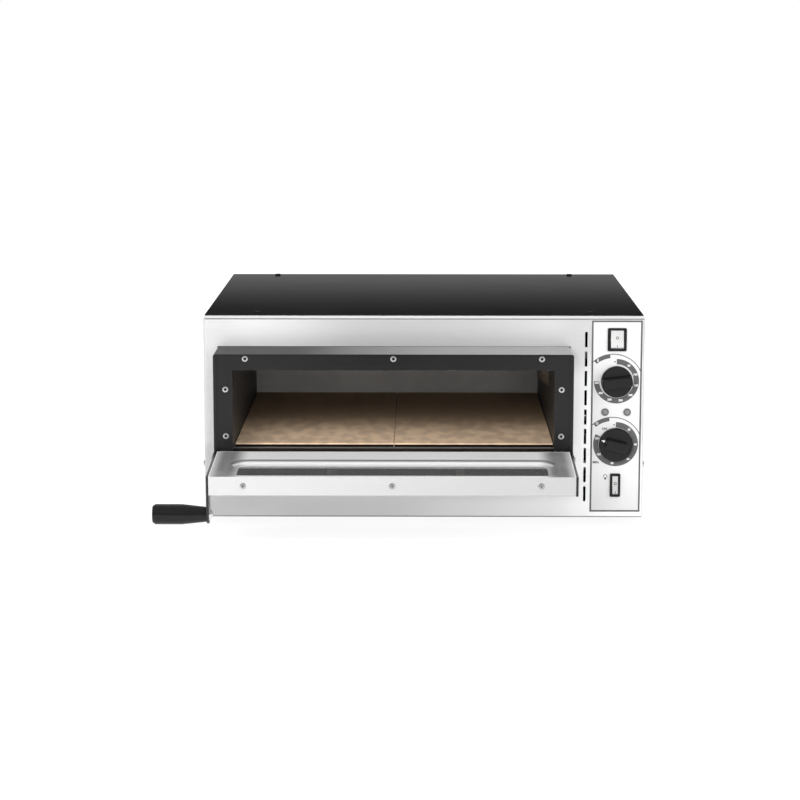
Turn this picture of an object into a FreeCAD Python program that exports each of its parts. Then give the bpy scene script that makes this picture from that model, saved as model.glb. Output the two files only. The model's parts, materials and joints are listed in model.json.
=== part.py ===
import FreeCAD
import Part
import math
import os

# Counter-top electric pizza oven, one solid per piece, in millimetres.
# +Z is up and the door faces -Y. The door is modelled open, lying a little below level.
# The pieces are built about the middle of the cabinet's footprint at counter level, and are moved
# at the end so that the origin is the middle of the whole open oven's footprint.

Vector = FreeCAD.Vector

# Cabinet
body_width = 560.0
body_depth = 490.0
body_height = 258.0
sheet = 1.0
cover_sheet = 1.2
bend_radius = 1.2
side_return = 18.0
top_ledge = 80.0
bright_ledge = 24.0
back_ledge = 30.0
side_ledge = 20.0
pan_flange = 20.0

# Clearances, and how far cuts run past a face
fit = 0.5
seat = 0.2
running = 0.04
overrun = 3.0

# Rubber feet
foot_height = 15.0
foot_radius = 18.0
foot_taper_share = 0.86
foot_recess_radius = 7.0
foot_recess_depth = 9.0
foot_inset = 50.0
foot_front_setback = 95.0
foot_back_setback = 60.0

# Screws: head radius of each kind, and the other sizes as shares of it
casing_screw_head = 4.0
surround_screw_head = 3.85
door_screw_head = 3.5
foot_screw_head = 5.0
head_height_share = 0.5
head_round_share = 0.3
shank_share = 0.42
recess_share = 0.55
recess_width_share = 0.2
recess_depth_share = 0.3
casing_screw_length = 8.0
surround_screw_length = 9.0
door_screw_length = 10.0
cover_screw_inset = 66.0
cover_front_setback = 47.0
cover_back_setback = 15.0
side_screw_rise = 67.5
side_screw_drop = 40.0
back_screw_rise = 11.0
back_screw_inset = 90.0

# Baking chamber
left_wool = 36.0
right_wool = 31.0
back_room = 82.0
floor_room = 40.0
roof_space = 40.5
shell_sheet = 1.0
flange_gap = 1.7
opening_margin = 4.0
stone_thickness = 15.0
stone_gap = 1.0
stone_seam = 0.5
heater_space = 38.0
sill_step = 4.0
ledge_width = 14.0
ledge_drop = 14.0
ledge_sheet = 1.5
beam_width = 20.0
beam_height = 12.0
stand_width = 25.0
stand_sheet = 1.2
back_insulation = 35.0

# Heating elements
heater_radius = 4.0
heater_side_gap = 21.0
heater_end_gap = 56.0
heater_runs = 6
upper_heater_drop = 12.0
lower_heater_rise = 14.0
heater_reach = 18.0
terminal_radius = 1.5
terminal_length = 8.0
heater_bush_radius = 7.0
heater_bush_length = 12.0
support_offset = 88.0
support_width = 12.0
support_sheet = 2.0
support_overhang = 20.0

# Oven lamp on the right chamber wall
lamp_drop = 46.0
lamp_radius = 23.5
lamp_bulge = 16.0
lamp_wall = 2.2
lamp_skirt = 3.0
lamp_flange_radius = 29.0
lamp_cup_radius = 25.0
lamp_cup_gap = 3.0
lamp_cup_sheet = 1.2
socket_radius = 13.0
socket_length = 12.0
bulb_radius = 9.0
bulb_neck_radius = 6.0
bulb_neck_length = 5.0

# Door surround, a deep black collar in front of the front panel
hood_depth = 70.0
hood_drop = 37.2
hood_sheet = 1.5
hood_round = 3.0
hood_flange = 8.0
hood_flange_gap = 4.3
face_border = 23.7
face_top_border = 20.2
face_recess = 2.0
side_lip = 4.5
surround_screw_inset = 15.0
surround_screw_drop = 5.8
surround_row_inset = 39.7
surround_upper_drop = 44.3
surround_lower_rise = 29.2

# Door and its hinge
pivot_reach = 12.0
hinge_drop = 2.0
door_gap = 1.0
door_heel = 3.0
door_thickness = 23.5
door_overlap = 12.0
door_open_angle = 93.0
door_sheet = 0.8
door_bend_radius = 1.2
liner_sheet = 0.8
liner_flange = 16.0
liner_land = 5.0
ring_width = 18.0
ring_depth = 5.0
ring_rise_shares = (0.0, 0.12, 0.5, 0.88, 1.0)
ring_step_shares = (0.0, 0.3, 0.5, 0.7, 1.0)
window_side_margin = 31.0
window_low_share = 0.4275
window_top_margin = 20.0
window_corner = 12.0
window_round_share = 0.4
glass_thickness = 4.0
glass_overlap = 9.0
frame_wall = 3.0
door_wool_thickness = 11.0
door_wool_margin = 17.0
edge_screw_inset = 41.2
edge_screw_depth = 11.0
plate_screw_shares = (0.42, 0.68)

# Hinge plates, ears, lever and grip
plate_thickness = 3.0
plate_gap = 0.5
lug_radius = 10.0
ear_root = 14.0
ear_rise = 9.0
ear_fall = 21.0
ear_front = 13.0
hinge_pin_radius = 3.0
hinge_pin_head = 5.0
hinge_pin_head_height = 2.0
bush_wall = 1.5
stop_pin_radius = 2.0
stop_pin_reach = 8.0
stop_gap = 0.3
arm_width = 22.0
grip_reach = 49.0
grip_length = 65.0
grip_radius = 12.2
grip_neck_radius = 9.0
grip_taper_share = 0.46
grip_end_share = 0.95
grip_end_radius_share = 0.84
bolt_radius = 4.0
bolt_head_radius = 7.0
bolt_head_height = 4.0
bolt_length = 40.0

# Control column on the right
control_bay = 82.0
control_inset = 35.5
overlay_sheet = 0.6
overlay_width = 64.0
overlay_top_drop = 3.8
overlay_bottom_rise = 7.3
overlay_corner = 2.0
slot_inset = 74.4
slot_width = 3.2
slot_length = 19.5
slot_pitch = 24.9
slot_drop = 18.5
slot_rise = 20.2
slot_round_share = 0.3

# Rocker switches
main_switch_drop = 27.9
main_bezel_width = 24.0
main_bezel_height = 29.3
main_rocker_width = 16.0
main_rocker_radius = 11.75
lamp_switch_rise = 42.2
lamp_bezel_width = 13.4
lamp_bezel_height = 30.2
lamp_rocker_width = 6.8
lamp_rocker_radius = 12.0
bezel_thickness = 2.2
bezel_corner = 1.6
switch_wall = 1.2
switch_depth = 22.0
rocker_gap = 0.4
rocker_front = 5.5
rocker_back = 5.0
rocker_dish = 2.0
rocker_pocket = 8.0
rocker_tilt = 9.0
stub_radius = 1.5
stub_length = 0.9

# Thermostat and timer
thermostat_place_share = 0.285
thermostat_size = 42.0
thermostat_knob_radius = 20.0
thermostat_pointer_angle = 187.0
thermostat_bar_share = 0.97
timer_place_share = 0.717
timer_size = 44.0
timer_knob_radius = 21.6
timer_pointer_angle = 166.0
timer_bar_share = 0.64
control_depth = 36.0
shaft_radius = 3.0
shaft_sink = 12.0
shaft_tail = 0.3
bush_radius = 5.0
bush_proud = 0.8
knob_gap = 1.2
knob_skirt = 7.0
knob_round = 1.5
knob_bar_half = 6.0
knob_bar_height = 11.0
knob_bar_round = 1.4
knob_bore = 13.0

# Thermostat probe and its capillary
capillary_radius = 1.0
capillary_bend = 12.0
capillary_offset = 10.0
capillary_clearance = 29.0
probe_radius = 3.0
probe_length = 110.0
probe_gap = 16.0
probe_end_gap = 60.0

# Pilot lamps
pilot_place_share = 0.496
pilot_spacing = 28.0
pilot_bezel_radius = 4.85
pilot_tube_radius = 3.8
pilot_lens_radius = 3.0
pilot_proud = 1.5
pilot_tube_length = 18.0
pilot_lens_length = 8.0
pilot_lens_bulge = 1.2

# Cable gland, terminal block and wiring
gland_inset = 40.0
gland_rise = 45.0
gland_thread_radius = 10.0
gland_hex_radius = 14.0
gland_hex_length = 8.0
gland_cap_radius = 11.0
gland_cap_end_radius = 9.0
gland_cap_length = 12.0
gland_bore = 4.0
gland_tail = 10.0
block_width = 34.0
block_depth = 24.0
block_height = 22.0
block_setback = 80.0
block_well_radius = 3.0
block_well_depth = 6.0
block_well_pitch = 11.0
wire_radius = 1.5
wire_bend = 14.0
wire_spacing = 7.5

# Places along Z
z_base = foot_height
z_top = z_base + body_height
z_cover = z_top - cover_sheet
z_pan = z_base + sheet
z_shell_bottom = z_pan + floor_room
z_floor = z_shell_bottom + shell_sheet
z_stone_under = z_floor + heater_space
z_stone = z_stone_under + stone_thickness
z_ceiling = z_cover - roof_space - shell_sheet
z_sill = z_stone - sill_step
z_hood_floor = z_sill - shell_sheet
z_hood_bottom = z_hood_floor - hood_sheet
z_hood_top = z_top - hood_drop
z_open = z_hood_top - face_top_border
z_throat = z_open + opening_margin
z_upper_heater = z_ceiling - upper_heater_drop
z_lower_heater = z_floor + lower_heater_rise
z_lamp = z_ceiling - lamp_drop
z_shell_top = z_ceiling + shell_sheet

# Places along X
x_right = body_width / 2
x_left = -x_right
x_bay = x_right - control_bay
x_control = x_right - control_inset
x_wall_out = x_bay - right_wool
x_wall = x_wall_out - shell_sheet
x_far_wall = x_left + sheet + left_wool + shell_sheet
x_chamber = (x_far_wall + x_wall) / 2
half_chamber = (x_wall - x_far_wall) / 2
half_shell = half_chamber + shell_sheet
half_opening = half_chamber - opening_margin
half_hood = half_opening + face_border
lamp_cup_depth = right_wool - lamp_cup_gap

# Places along Y
y_front = -body_depth / 2
y_back = -y_front
y_inside = y_front + sheet
y_overlay = y_front - overlay_sheet
y_face = y_front - hood_depth
y_plate = y_face + face_recess
y_flange = y_plate + hood_sheet
y_step = y_inside + hood_sheet + fit
y_chamber = y_step + shell_sheet
y_shell_back = y_back - sheet - back_room
y_chamber_back = y_shell_back - shell_sheet
y_wool = y_front + side_return + fit
y_heater_first = y_chamber + heater_end_gap
y_heater_last = y_chamber_back - heater_end_gap
heater_pitch = (y_heater_last - y_heater_first) / (heater_runs - 1)
heater_run_half = half_chamber - heater_side_gap - heater_radius - heater_pitch / 2
y_capillary = y_chamber_back - probe_end_gap - probe_length - 2 * capillary_bend
y_lamp = y_capillary - capillary_clearance - lamp_flange_radius

# How far below the cabinet's top each control sits
lamp_switch_drop = body_height - lamp_switch_rise
control_span = lamp_switch_drop - main_switch_drop
thermostat_drop = main_switch_drop + control_span * thermostat_place_share
pilot_drop = main_switch_drop + control_span * pilot_place_share
timer_drop = main_switch_drop + control_span * timer_place_share

# As many vent slots as the front and the back have room for
front_slot_room = body_height - slot_drop - slot_rise - slot_length
front_slots = round(front_slot_room / slot_pitch) + 1
back_slot_room = body_height - side_screw_drop - slot_length - gland_rise - gland_hex_radius
back_slots = int(back_slot_room / slot_pitch) + 1

# The door shut, before it is swung open about the hinge axis
y_pivot = y_face - pivot_reach
z_pivot = z_sill - hinge_drop
y_inner = y_face - door_gap
y_outer = y_inner - door_thickness
z_door = z_pivot - door_heel
z_door_top = z_open + door_overlap
half_ear = half_hood - hood_sheet
half_plates = half_ear - plate_gap
half_tray = half_plates - plate_thickness
half_window = half_tray - window_side_margin
z_window = z_door + (z_door_top - z_door) * window_low_share
z_window_top = z_door_top - window_top_margin
window_round = min(window_corner, (z_window_top - z_window) * window_round_share)
y_grip = y_inner - grip_reach
z_grip = z_door_top - arm_width / 2
y_edge_screw = y_inner - edge_screw_depth
y_plate_screw = (y_inner + y_outer) / 2
pivot = Vector(x_chamber, y_pivot, z_pivot)

# Directions
right = Vector(1, 0, 0)
left = Vector(-1, 0, 0)
back = Vector(0, 1, 0)
front = Vector(0, -1, 0)
up = Vector(0, 0, 1)
down = Vector(0, 0, -1)


def swung_open(point):
    """Where a point of the shut door lies when the door is open."""
    turn = FreeCAD.Rotation(right, door_open_angle)
    return pivot + turn.multVec(point - pivot)


# Middle of the open oven's footprint
head_proud = casing_screw_head * head_height_share
x_footprint = (x_chamber - half_plates - grip_length + x_right + head_proud) / 2
y_door_front = swung_open(Vector(x_chamber, y_outer, z_door_top)).y
y_gland_end = y_back + gland_hex_length + gland_cap_length
y_footprint = (y_door_front + y_gland_end) / 2
to_origin = Vector(-x_footprint, -y_footprint, 0)


# Shapes that several pieces use

def block(x0, x1, y0, y1, z0, z1):
    return Part.makeBox(x1 - x0, y1 - y0, z1 - z0, Vector(x0, y0, z0))


def rod(start, direction, length, radius):
    return Part.makeCylinder(radius, length, start, direction)


def tube(start, direction, length, radius, bore):
    return rod(start, direction, length, radius).cut(rod(start, direction, length, bore))


def hexagon(start, direction, length, radius):
    """A hexagonal prism; radius reaches to its corners."""
    corners = []
    for step in range(7):
        angle = step * math.pi / 3
        corners.append(Vector(radius * math.cos(angle), radius * math.sin(angle), 0))
    prism = Part.Face(Part.makePolygon(corners)).extrude(up * length)
    prism.Placement = FreeCAD.Placement(start, FreeCAD.Rotation(up, direction))
    return prism


def rounded_loop(x0, x1, z0, z1, y, radius):
    """A rectangle with round corners, standing in the plane at the given depth."""
    edges = []
    diagonal = radius * math.sqrt(0.5)
    corners = ((x1, z1, 1, 1), (x0, z1, -1, 1), (x0, z0, -1, -1), (x1, z0, 1, -1))
    ends = []
    for x, z, side, rise in corners:
        middle = Vector(x - side * radius, y, z - rise * radius)
        along = middle + Vector(side * radius, 0, 0)
        above = middle + Vector(0, 0, rise * radius)
        bulge = middle + Vector(side * diagonal, 0, rise * diagonal)
        first, last = (along, above) if side * rise > 0 else (above, along)
        ends.append((first, bulge, last))
    for index, (first, bulge, last) in enumerate(ends):
        edges.append(Part.Arc(first, bulge, last).toShape())
        edges.append(Part.LineSegment(last, ends[(index + 1) % len(ends)][0]).toShape())
    return Part.Wire(edges)


def rounded_slab(x0, x1, y0, y1, z0, z1, radius):
    return Part.Face(rounded_loop(x0, x1, z0, z1, y0, radius)).extrude(back * (y1 - y0))


def joined(shapes):
    return shapes[0].multiFuse(shapes[1:]).removeSplitter()


def edges_at(shape, x=None, y=None, z=None, slack=1e-4):
    """The edges that lie wholly in the given planes."""
    found = []
    for edge in shape.Edges:
        box = edge.BoundBox
        lies = x is None or max(abs(box.XMin - x), abs(box.XMax - x)) < slack
        lies = lies and (y is None or max(abs(box.YMin - y), abs(box.YMax - y)) < slack)
        lies = lies and (z is None or max(abs(box.ZMin - z), abs(box.ZMax - z)) < slack)
        if lies:
            found.append(edge)
    return found


def bent_tube(points, bend, radius):
    """A round tube through the points, with a tangent arc at each corner."""
    edges = []
    start = points[0]
    for before, corner, after in zip(points, points[1:], points[2:]):
        arriving = (corner - before).normalize()
        leaving = (after - corner).normalize()
        turn = arriving.getAngle(leaving)
        reach = bend * math.tan(turn / 2)
        first = corner - arriving * reach
        last = corner + leaving * reach
        inward = (leaving - arriving).normalize()
        centre = corner + inward * (bend / math.cos(turn / 2))
        edges.append(Part.LineSegment(start, first).toShape())
        edges.append(Part.Arc(first, centre - inward * bend, last).toShape())
        start = last
    edges.append(Part.LineSegment(start, points[-1]).toShape())
    section = Part.Wire(Part.makeCircle(radius, points[0], points[1] - points[0]))
    return Part.Wire(edges).makePipeShell([section], True, False)


def screw(seat_point, direction, head, length, socket=False):
    """A pan-head screw whose head sits on the seat point and whose shank runs along direction."""
    height = head * head_height_share
    cap = Part.makeCylinder(head, height)
    cap = cap.makeFillet(head * head_round_share, edges_at(cap, z=height))
    depth = head * recess_depth_share
    arm = head * recess_share
    if socket:
        recess = hexagon(Vector(0, 0, height - depth), up, depth + overrun, arm)
    else:
        half = head * recess_width_share / 2
        recess = joined([block(-arm, arm, -half, half, height - depth, height + overrun),
                         block(-half, half, -arm, arm, height - depth, height + overrun)])
    shank = Part.makeCylinder(head * shank_share, length, Vector(0, 0, -length))
    whole = joined([cap.cut(recess), shank])
    whole.Placement = FreeCAD.Placement(seat_point, FreeCAD.Rotation(up, direction * -1))
    return whole


def screw_hole(seat_point, direction, head, length):
    return rod(seat_point - direction * overrun, direction, length + overrun, head * shank_share)


# Where the screws sit: seat point and the direction of the shank

def cover_seats():
    seats = []
    for x in (x_left + cover_screw_inset, x_right - cover_screw_inset):
        for y in (y_front + cover_front_setback, y_back - cover_back_setback):
            seats.append((Vector(x, y, z_top), down))
    return seats


def side_seats(x, direction):
    near, far = y_front + side_return / 2, y_back - side_return / 2
    low, high = z_base + side_screw_rise, z_top - side_screw_drop
    return [(Vector(x, y, z), direction) for y, z in ((near, low), (far, low), (far, high))]


def back_seats():
    places = (x_left + back_screw_inset, 0, x_right - back_screw_inset)
    return [(Vector(x, y_back, z_base + back_screw_rise), front) for x in places]


def casing_seats():
    return cover_seats() + side_seats(x_left, right) + side_seats(x_right, left) + back_seats()


def surround_seats():
    seats = []
    row_half = half_hood - surround_row_inset
    for x in (-row_half, 0, row_half):
        seats.append((Vector(x_chamber + x, y_plate, z_hood_top - surround_screw_drop), back))
    for x in (surround_screw_inset - half_hood, half_hood - surround_screw_inset):
        for z in (z_hood_top - surround_upper_drop, z_hood_bottom + surround_lower_rise):
            seats.append((Vector(x_chamber + x, y_plate, z), back))
    return seats


def edge_seats():
    row_half = half_tray - edge_screw_inset
    places = (-row_half, 0, row_half)
    return [(Vector(x_chamber + x, y_edge_screw, z_door_top), down) for x in places]


def plate_seats():
    seats = []
    for share in plate_screw_shares:
        z = z_door + (z_door_top - z_door) * share
        seats.append((Vector(x_chamber - half_plates, y_plate_screw, z), right))
        seats.append((Vector(x_chamber + half_plates, y_plate_screw, z), left))
    return seats


def holes(seats, head, length):
    return [screw_hole(place, direction, head, length) for place, direction in seats]


def casing_holes():
    return holes(casing_seats(), casing_screw_head, casing_screw_length)


def door_holes():
    return holes(edge_seats() + plate_seats(), door_screw_head, door_screw_length)


# Casing

def foot_places():
    places = []
    for x in (x_left + foot_inset, x_right - foot_inset):
        for y in (y_front + foot_front_setback, y_back - foot_back_setback):
            places.append(Vector(x, y, 0))
    return places


def base_pan():
    x0, x1 = x_left + sheet, x_right - sheet
    y0, y1 = y_inside, y_back - sheet
    top = z_base + pan_flange
    near, far = y_front + side_return + fit, y_back - side_return - fit
    inner = x0 + sheet + bend_radius + fit
    pieces = [block(x0, x1, y0, y1, z_base, z_pan),
              block(x0, x0 + sheet, near, far, z_base, top),
              block(x1 - sheet, x1, near, far, z_base, top),
              block(inner, -inner, y0, y0 + sheet, z_base, top),
              block(inner, -inner, y1 - sheet, y1, z_base, top)]
    shank = foot_screw_head * shank_share
    bores = [rod(place, up, z_top, shank) for place in foot_places()]
    return joined(pieces).cut(bores + casing_holes())


def rubber_feet():
    feet = []
    for place in foot_places():
        foot = Part.makeCone(foot_radius * foot_taper_share, foot_radius, foot_height, place)
        recess = rod(place - up * overrun, up, foot_recess_depth + overrun, foot_recess_radius)
        bore = rod(place, up, foot_height, foot_screw_head * shank_share)
        feet.append(foot.cut([recess, bore]))
    return feet


def foot_screws():
    length = z_pan - foot_recess_depth
    places = [place + up * foot_recess_depth for place in foot_places()]
    return [screw(place, up, foot_screw_head, length) for place in places]


def folded_front(width, height, depth):
    """A sheet standing in the XZ plane with folds behind its top and both sides."""
    outer_radius = bend_radius + sheet
    outer = block(-width / 2, width / 2, 0, depth, 0, height)
    inner = block(sheet - width / 2, width / 2 - sheet, sheet, depth + overrun, -overrun, height - sheet)
    solids = []
    for solid, reach, radius, face in ((outer, width / 2, outer_radius, 0),
                                       (inner, width / 2 - sheet, bend_radius, sheet)):
        crown = height - face
        edges = edges_at(solid, y=face, z=crown)
        edges = edges + edges_at(solid, x=reach, y=face) + edges_at(solid, x=-reach, y=face)
        solids.append(solid.makeFillet(radius, edges))
    return solids[0].cut(solids[1])


def vent_slot(x, y, z_high):
    half = slot_width / 2
    corner = half * slot_round_share
    return rounded_slab(x - half, x + half, y - overrun, y + sheet + overrun, z_high - slot_length,
                        z_high, corner)


def control_cuts(y0, y1):
    """Apertures for the switches, bushes and pilot lamps, through the panel and its overlay."""
    cuts = []
    for width, radius, drop in ((main_rocker_width, main_rocker_radius, main_switch_drop),
                                (lamp_rocker_width, lamp_rocker_radius, lamp_switch_drop)):
        half = width / 2 + rocker_gap + switch_wall + seat
        rise = radius + rocker_gap + switch_wall + seat
        z = z_top - drop
        cuts.append(block(x_control - half, x_control + half, y0, y1, z - rise, z + rise))
    for drop in (thermostat_drop, timer_drop):
        cuts.append(rod(Vector(x_control, y0, z_top - drop), back, y1 - y0, bush_radius + seat))
    for side in (-1, 1):
        place = Vector(x_control + side * pilot_spacing / 2, y0, z_top - pilot_drop)
        cuts.append(rod(place, back, y1 - y0, pilot_tube_radius + seat))
    return cuts


def front_panel():
    panel = folded_front(body_width - 2 * sheet, z_cover - z_base, side_return)
    panel.translate(Vector(0, y_front, z_base))
    ledge = block(x_left + sheet, x_right - sheet, y_front + side_return, y_front + top_ledge,
                  z_cover - sheet, z_cover)
    panel = joined([panel, ledge])
    cuts = [block(x_chamber - half_hood - seat, x_chamber + half_hood + seat, y_front - overrun,
                  y_inside + overrun, z_hood_bottom - seat, z_hood_top + seat)]
    for index in range(front_slots):
        cuts.append(vent_slot(x_right - slot_inset, y_front, z_top - slot_drop - slot_pitch * index))
    # The folds stop above the base pan.
    cuts.append(block(x_left, x_right, y_inside, y_front + side_return + overrun, z_base - overrun,
                      z_pan + seat))
    cuts = cuts + control_cuts(y_front - overrun, y_inside + overrun)
    return panel.cut(cuts + casing_holes())


def side_panel(side):
    outer = side * x_right
    wall = sorted((outer, outer - side * sheet))
    shelf = sorted((outer, outer - side * side_ledge))
    near, far = y_front + top_ledge + fit, y_back - back_ledge - fit
    # The wall stops behind the round of the front and back panels' folds.
    fold = bend_radius + sheet
    pieces = [block(wall[0], wall[1], y_front + fold, y_back - fold, z_base, z_cover),
              block(shelf[0], shelf[1], near, far, z_cover - sheet, z_cover)]
    return joined(pieces).cut(casing_holes())


def back_panel():
    width = body_width - 2 * sheet
    panel = folded_front(width, z_cover - z_base, side_return)
    panel.rotate(Vector(0, 0, 0), up, 180)
    panel.translate(Vector(0, y_back, z_base))
    reach = x_right - sheet - side_ledge
    ledge = block(-reach, reach, y_back - back_ledge, y_back - side_return, z_cover - sheet, z_cover)
    panel = joined([panel, ledge])
    cuts = [block(x_left, x_right, y_back - side_return - overrun, y_back - sheet, z_base - overrun,
                  z_pan + seat)]
    for index in range(back_slots):
        z_high = z_top - side_screw_drop - slot_pitch * index
        cuts.append(vent_slot(x_right - slot_inset, y_back - sheet, z_high))
    cuts.append(rod(Vector(x_right - gland_inset, y_back - sheet - overrun, z_base + gland_rise), back,
                    sheet + 2 * overrun, gland_thread_radius))
    return panel.cut(cuts + casing_holes())


def top_cover():
    cover = block(x_left, x_right, y_front + bright_ledge, y_back, z_cover, z_top)
    return cover.cut(casing_holes())


def casing_screws():
    return [screw(place, way, casing_screw_head, casing_screw_length) for place, way in casing_seats()]


def cable_gland():
    start = Vector(x_right - gland_inset, y_back, z_base + gland_rise)
    tail = start - back * (sheet + gland_tail)
    hex_end = start + back * gland_hex_length
    cap = Part.makeCone(gland_cap_radius, gland_cap_end_radius, gland_cap_length, hex_end, back)
    pieces = [hexagon(start, back, gland_hex_length, gland_hex_radius), cap,
              rod(tail, back, sheet + gland_tail, gland_thread_radius)]
    length = sheet + gland_tail + gland_hex_length + gland_cap_length
    return joined(pieces).cut(rod(tail, back, length, gland_bore))


def terminal_block():
    y = y_back - block_setback
    body = block(x_control - block_width / 2, x_control + block_width / 2, y - block_depth / 2,
                 y + block_depth / 2, z_pan, z_pan + block_height)
    wells = []
    for side in (-1, 0, 1):
        mouth = Vector(x_control + side * block_well_pitch, y - block_depth / 2, z_pan + block_height / 2)
        wells.append(rod(mouth, back, block_well_depth, block_well_radius))
    return body.cut(wells)


def wiring_loom():
    """Four wires from the backs of the controls to the top of the terminal block."""
    switch_back = y_front + switch_depth
    control_back = y_inside + control_depth
    stops = ((main_switch_drop, switch_back), (thermostat_drop, control_back),
             (timer_drop, control_back), (lamp_switch_drop, switch_back))
    y = y_back - block_setback
    wires = []
    for index, (drop, start) in enumerate(stops):
        x = x_control + wire_spacing * (index - (len(stops) - 1) / 2)
        # The last control sits too low for a turn down, so its wire climbs behind it first.
        level = z_top - drop
        route = [Vector(x, start, level)]
        crest = max(level, z_pan + block_height + 2 * wire_bend)
        if crest > level:
            route.append(Vector(x, start + 2 * wire_bend, level))
            route.append(Vector(x, start + 2 * wire_bend + (crest - level), crest))
        route.append(Vector(x, y, crest))
        route.append(Vector(x, y, z_pan + block_height))
        wires.append(bent_tube(route, wire_bend, wire_radius))
    return wires


# Controls

def control_overlay():
    half = overlay_width / 2
    plate = rounded_slab(x_control - half, x_control + half, y_overlay, y_front,
                         z_base + overlay_bottom_rise, z_top - overlay_top_drop, overlay_corner)
    return plate.cut(control_cuts(y_overlay - overrun, y_front + overrun))


def rocker_axis(drop):
    return Vector(x_control, y_overlay, z_top - drop)


def stub_bar(axis, width, radius):
    reach = width / 2 + rocker_gap + stub_length
    return rod(axis - right * reach, right, 2 * reach, radius)


def switch_housing(width, radius, drop, bezel_width, bezel_height):
    axis = rocker_axis(drop)
    bezel = rounded_slab(x_control - bezel_width / 2, x_control + bezel_width / 2,
                         y_overlay - bezel_thickness, y_overlay, axis.z - bezel_height / 2,
                         axis.z + bezel_height / 2, bezel_corner)
    room = width / 2 + rocker_gap
    rise = radius + rocker_gap
    body = block(x_control - room - switch_wall, x_control + room + switch_wall, y_overlay,
                 y_front + switch_depth, axis.z - rise - switch_wall, axis.z + rise + switch_wall)
    pocket = block(x_control - room, x_control + room, y_overlay - bezel_thickness - overrun,
                   y_overlay + rocker_pocket, axis.z - rise, axis.z + rise)
    return joined([bezel, body]).cut([pocket, stub_bar(axis, width, stub_radius + running)])


def switch_rocker(width, radius, drop):
    axis = rocker_axis(drop)
    drum = rod(axis - right * (width / 2), right, width, radius)
    keep = block(x_control - width, x_control + width, axis.y - rocker_front, axis.y + rocker_back,
                 axis.z - radius, axis.z + radius)
    half = math.sqrt(radius ** 2 - rocker_front ** 2)
    crest = axis.y - rocker_front
    outline = [Vector(x_control - width, crest, axis.z - half),
               Vector(x_control - width, crest, axis.z + half),
               Vector(x_control - width, crest + rocker_dish, axis.z),
               Vector(x_control - width, crest, axis.z - half)]
    dish = Part.Face(Part.makePolygon(outline)).extrude(right * (2 * width))
    # The axle stubs reach a little less far than their holes.
    rocker = joined([drum.common(keep).cut(dish), stub_bar(axis, width - 2 * running, stub_radius)])
    rocker.rotate(axis, right, -rocker_tilt)
    return rocker


def dial_centre(drop, y):
    return Vector(x_control, y, z_top - drop)


def dial_body(drop, size):
    half = size / 2
    z = z_top - drop
    case = block(x_control - half, x_control + half, y_inside, y_inside + control_depth, z - half, z + half)
    start = dial_centre(drop, y_overlay - bush_proud)
    length = y_inside - y_overlay + bush_proud
    bush = rod(start, back, length, bush_radius)
    bore = rod(start, back, length + shaft_sink + shaft_tail, shaft_radius + running)
    return joined([case, bush]).cut(bore)


def dial_shaft(drop):
    tip = y_overlay - knob_gap - knob_bore
    return rod(dial_centre(drop, tip), back, y_inside + shaft_sink - tip, shaft_radius)


def dial_knob(drop, radius, pointer_angle, bar_share):
    seat_y = y_overlay - knob_gap
    skirt = rod(dial_centre(drop, seat_y), front, knob_skirt, radius)
    skirt = skirt.makeFillet(knob_round, edges_at(skirt, y=seat_y - knob_skirt))
    centre = dial_centre(drop, seat_y)
    reach = radius * bar_share
    crown = seat_y - knob_skirt - knob_bar_height
    bar = block(x_control - radius, x_control + radius, crown, seat_y - knob_skirt / 2,
                centre.z - knob_bar_half, centre.z + knob_bar_half)
    bar = bar.common(rod(centre, front, knob_skirt + knob_bar_height, reach))
    bar = bar.makeFillet(knob_bar_round, edges_at(bar, y=crown))
    knob = joined([skirt, bar]).cut(rod(centre, front, knob_bore, shaft_radius))
    knob.rotate(centre, front, pointer_angle)
    return knob


def thermostat_probe():
    """The sensing bulb in the chamber and the capillary that joins it to the thermostat."""
    level = z_top - thermostat_drop
    x_start = x_control - capillary_offset
    x_bulb = x_wall - probe_gap
    bulb = Vector(x_bulb, y_capillary + 2 * capillary_bend, level)
    route = [Vector(x_start, y_inside + control_depth, level), Vector(x_start, y_capillary, level),
             Vector(x_bulb, y_capillary, level), bulb]
    capillary = bent_tube(route, capillary_bend, capillary_radius)
    return joined([capillary, rod(bulb, back, probe_length, probe_radius)])


def capillary_hole(x0, x1, clearance):
    place = Vector(x0, y_capillary, z_top - thermostat_drop)
    return rod(place, right, x1 - x0, capillary_radius + clearance)


def pilot_places(y):
    return [Vector(x_control + side * pilot_spacing / 2, y, z_top - pilot_drop) for side in (-1, 1)]


def pilot_bezels():
    bezels = []
    for place in pilot_places(y_overlay):
        collar = rod(place, front, pilot_proud, pilot_bezel_radius)
        stem = rod(place, back, pilot_tube_length, pilot_tube_radius)
        well = rod(place - back * pilot_proud, back, pilot_proud + pilot_lens_length, pilot_lens_radius)
        bezels.append(joined([collar, stem]).cut(well))
    return bezels


def pilot_lenses():
    lenses = []
    for place in pilot_places(y_overlay):
        tail = place + back * pilot_lens_length
        stem = rod(tail, front, pilot_lens_length + pilot_proud, pilot_lens_radius)
        bulge = pilot_lens_bulge
        ball_radius = (pilot_lens_radius ** 2 + bulge ** 2) / (2 * bulge)
        ball = Part.makeSphere(ball_radius, place + back * (ball_radius - pilot_proud - bulge))
        cap = ball.common(rod(place + front * pilot_proud, front, bulge + overrun, ball_radius))
        lenses.append(joined([stem, cap]))
    return lenses


# Chamber

def heater_ends():
    return [(y, z) for y in (y_heater_first, y_heater_last) for z in (z_upper_heater, z_lower_heater)]


def heater_holes(x0, x1):
    return [rod(Vector(x0, y, z), right, x1 - x0, heater_radius + seat) for y, z in heater_ends()]


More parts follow.
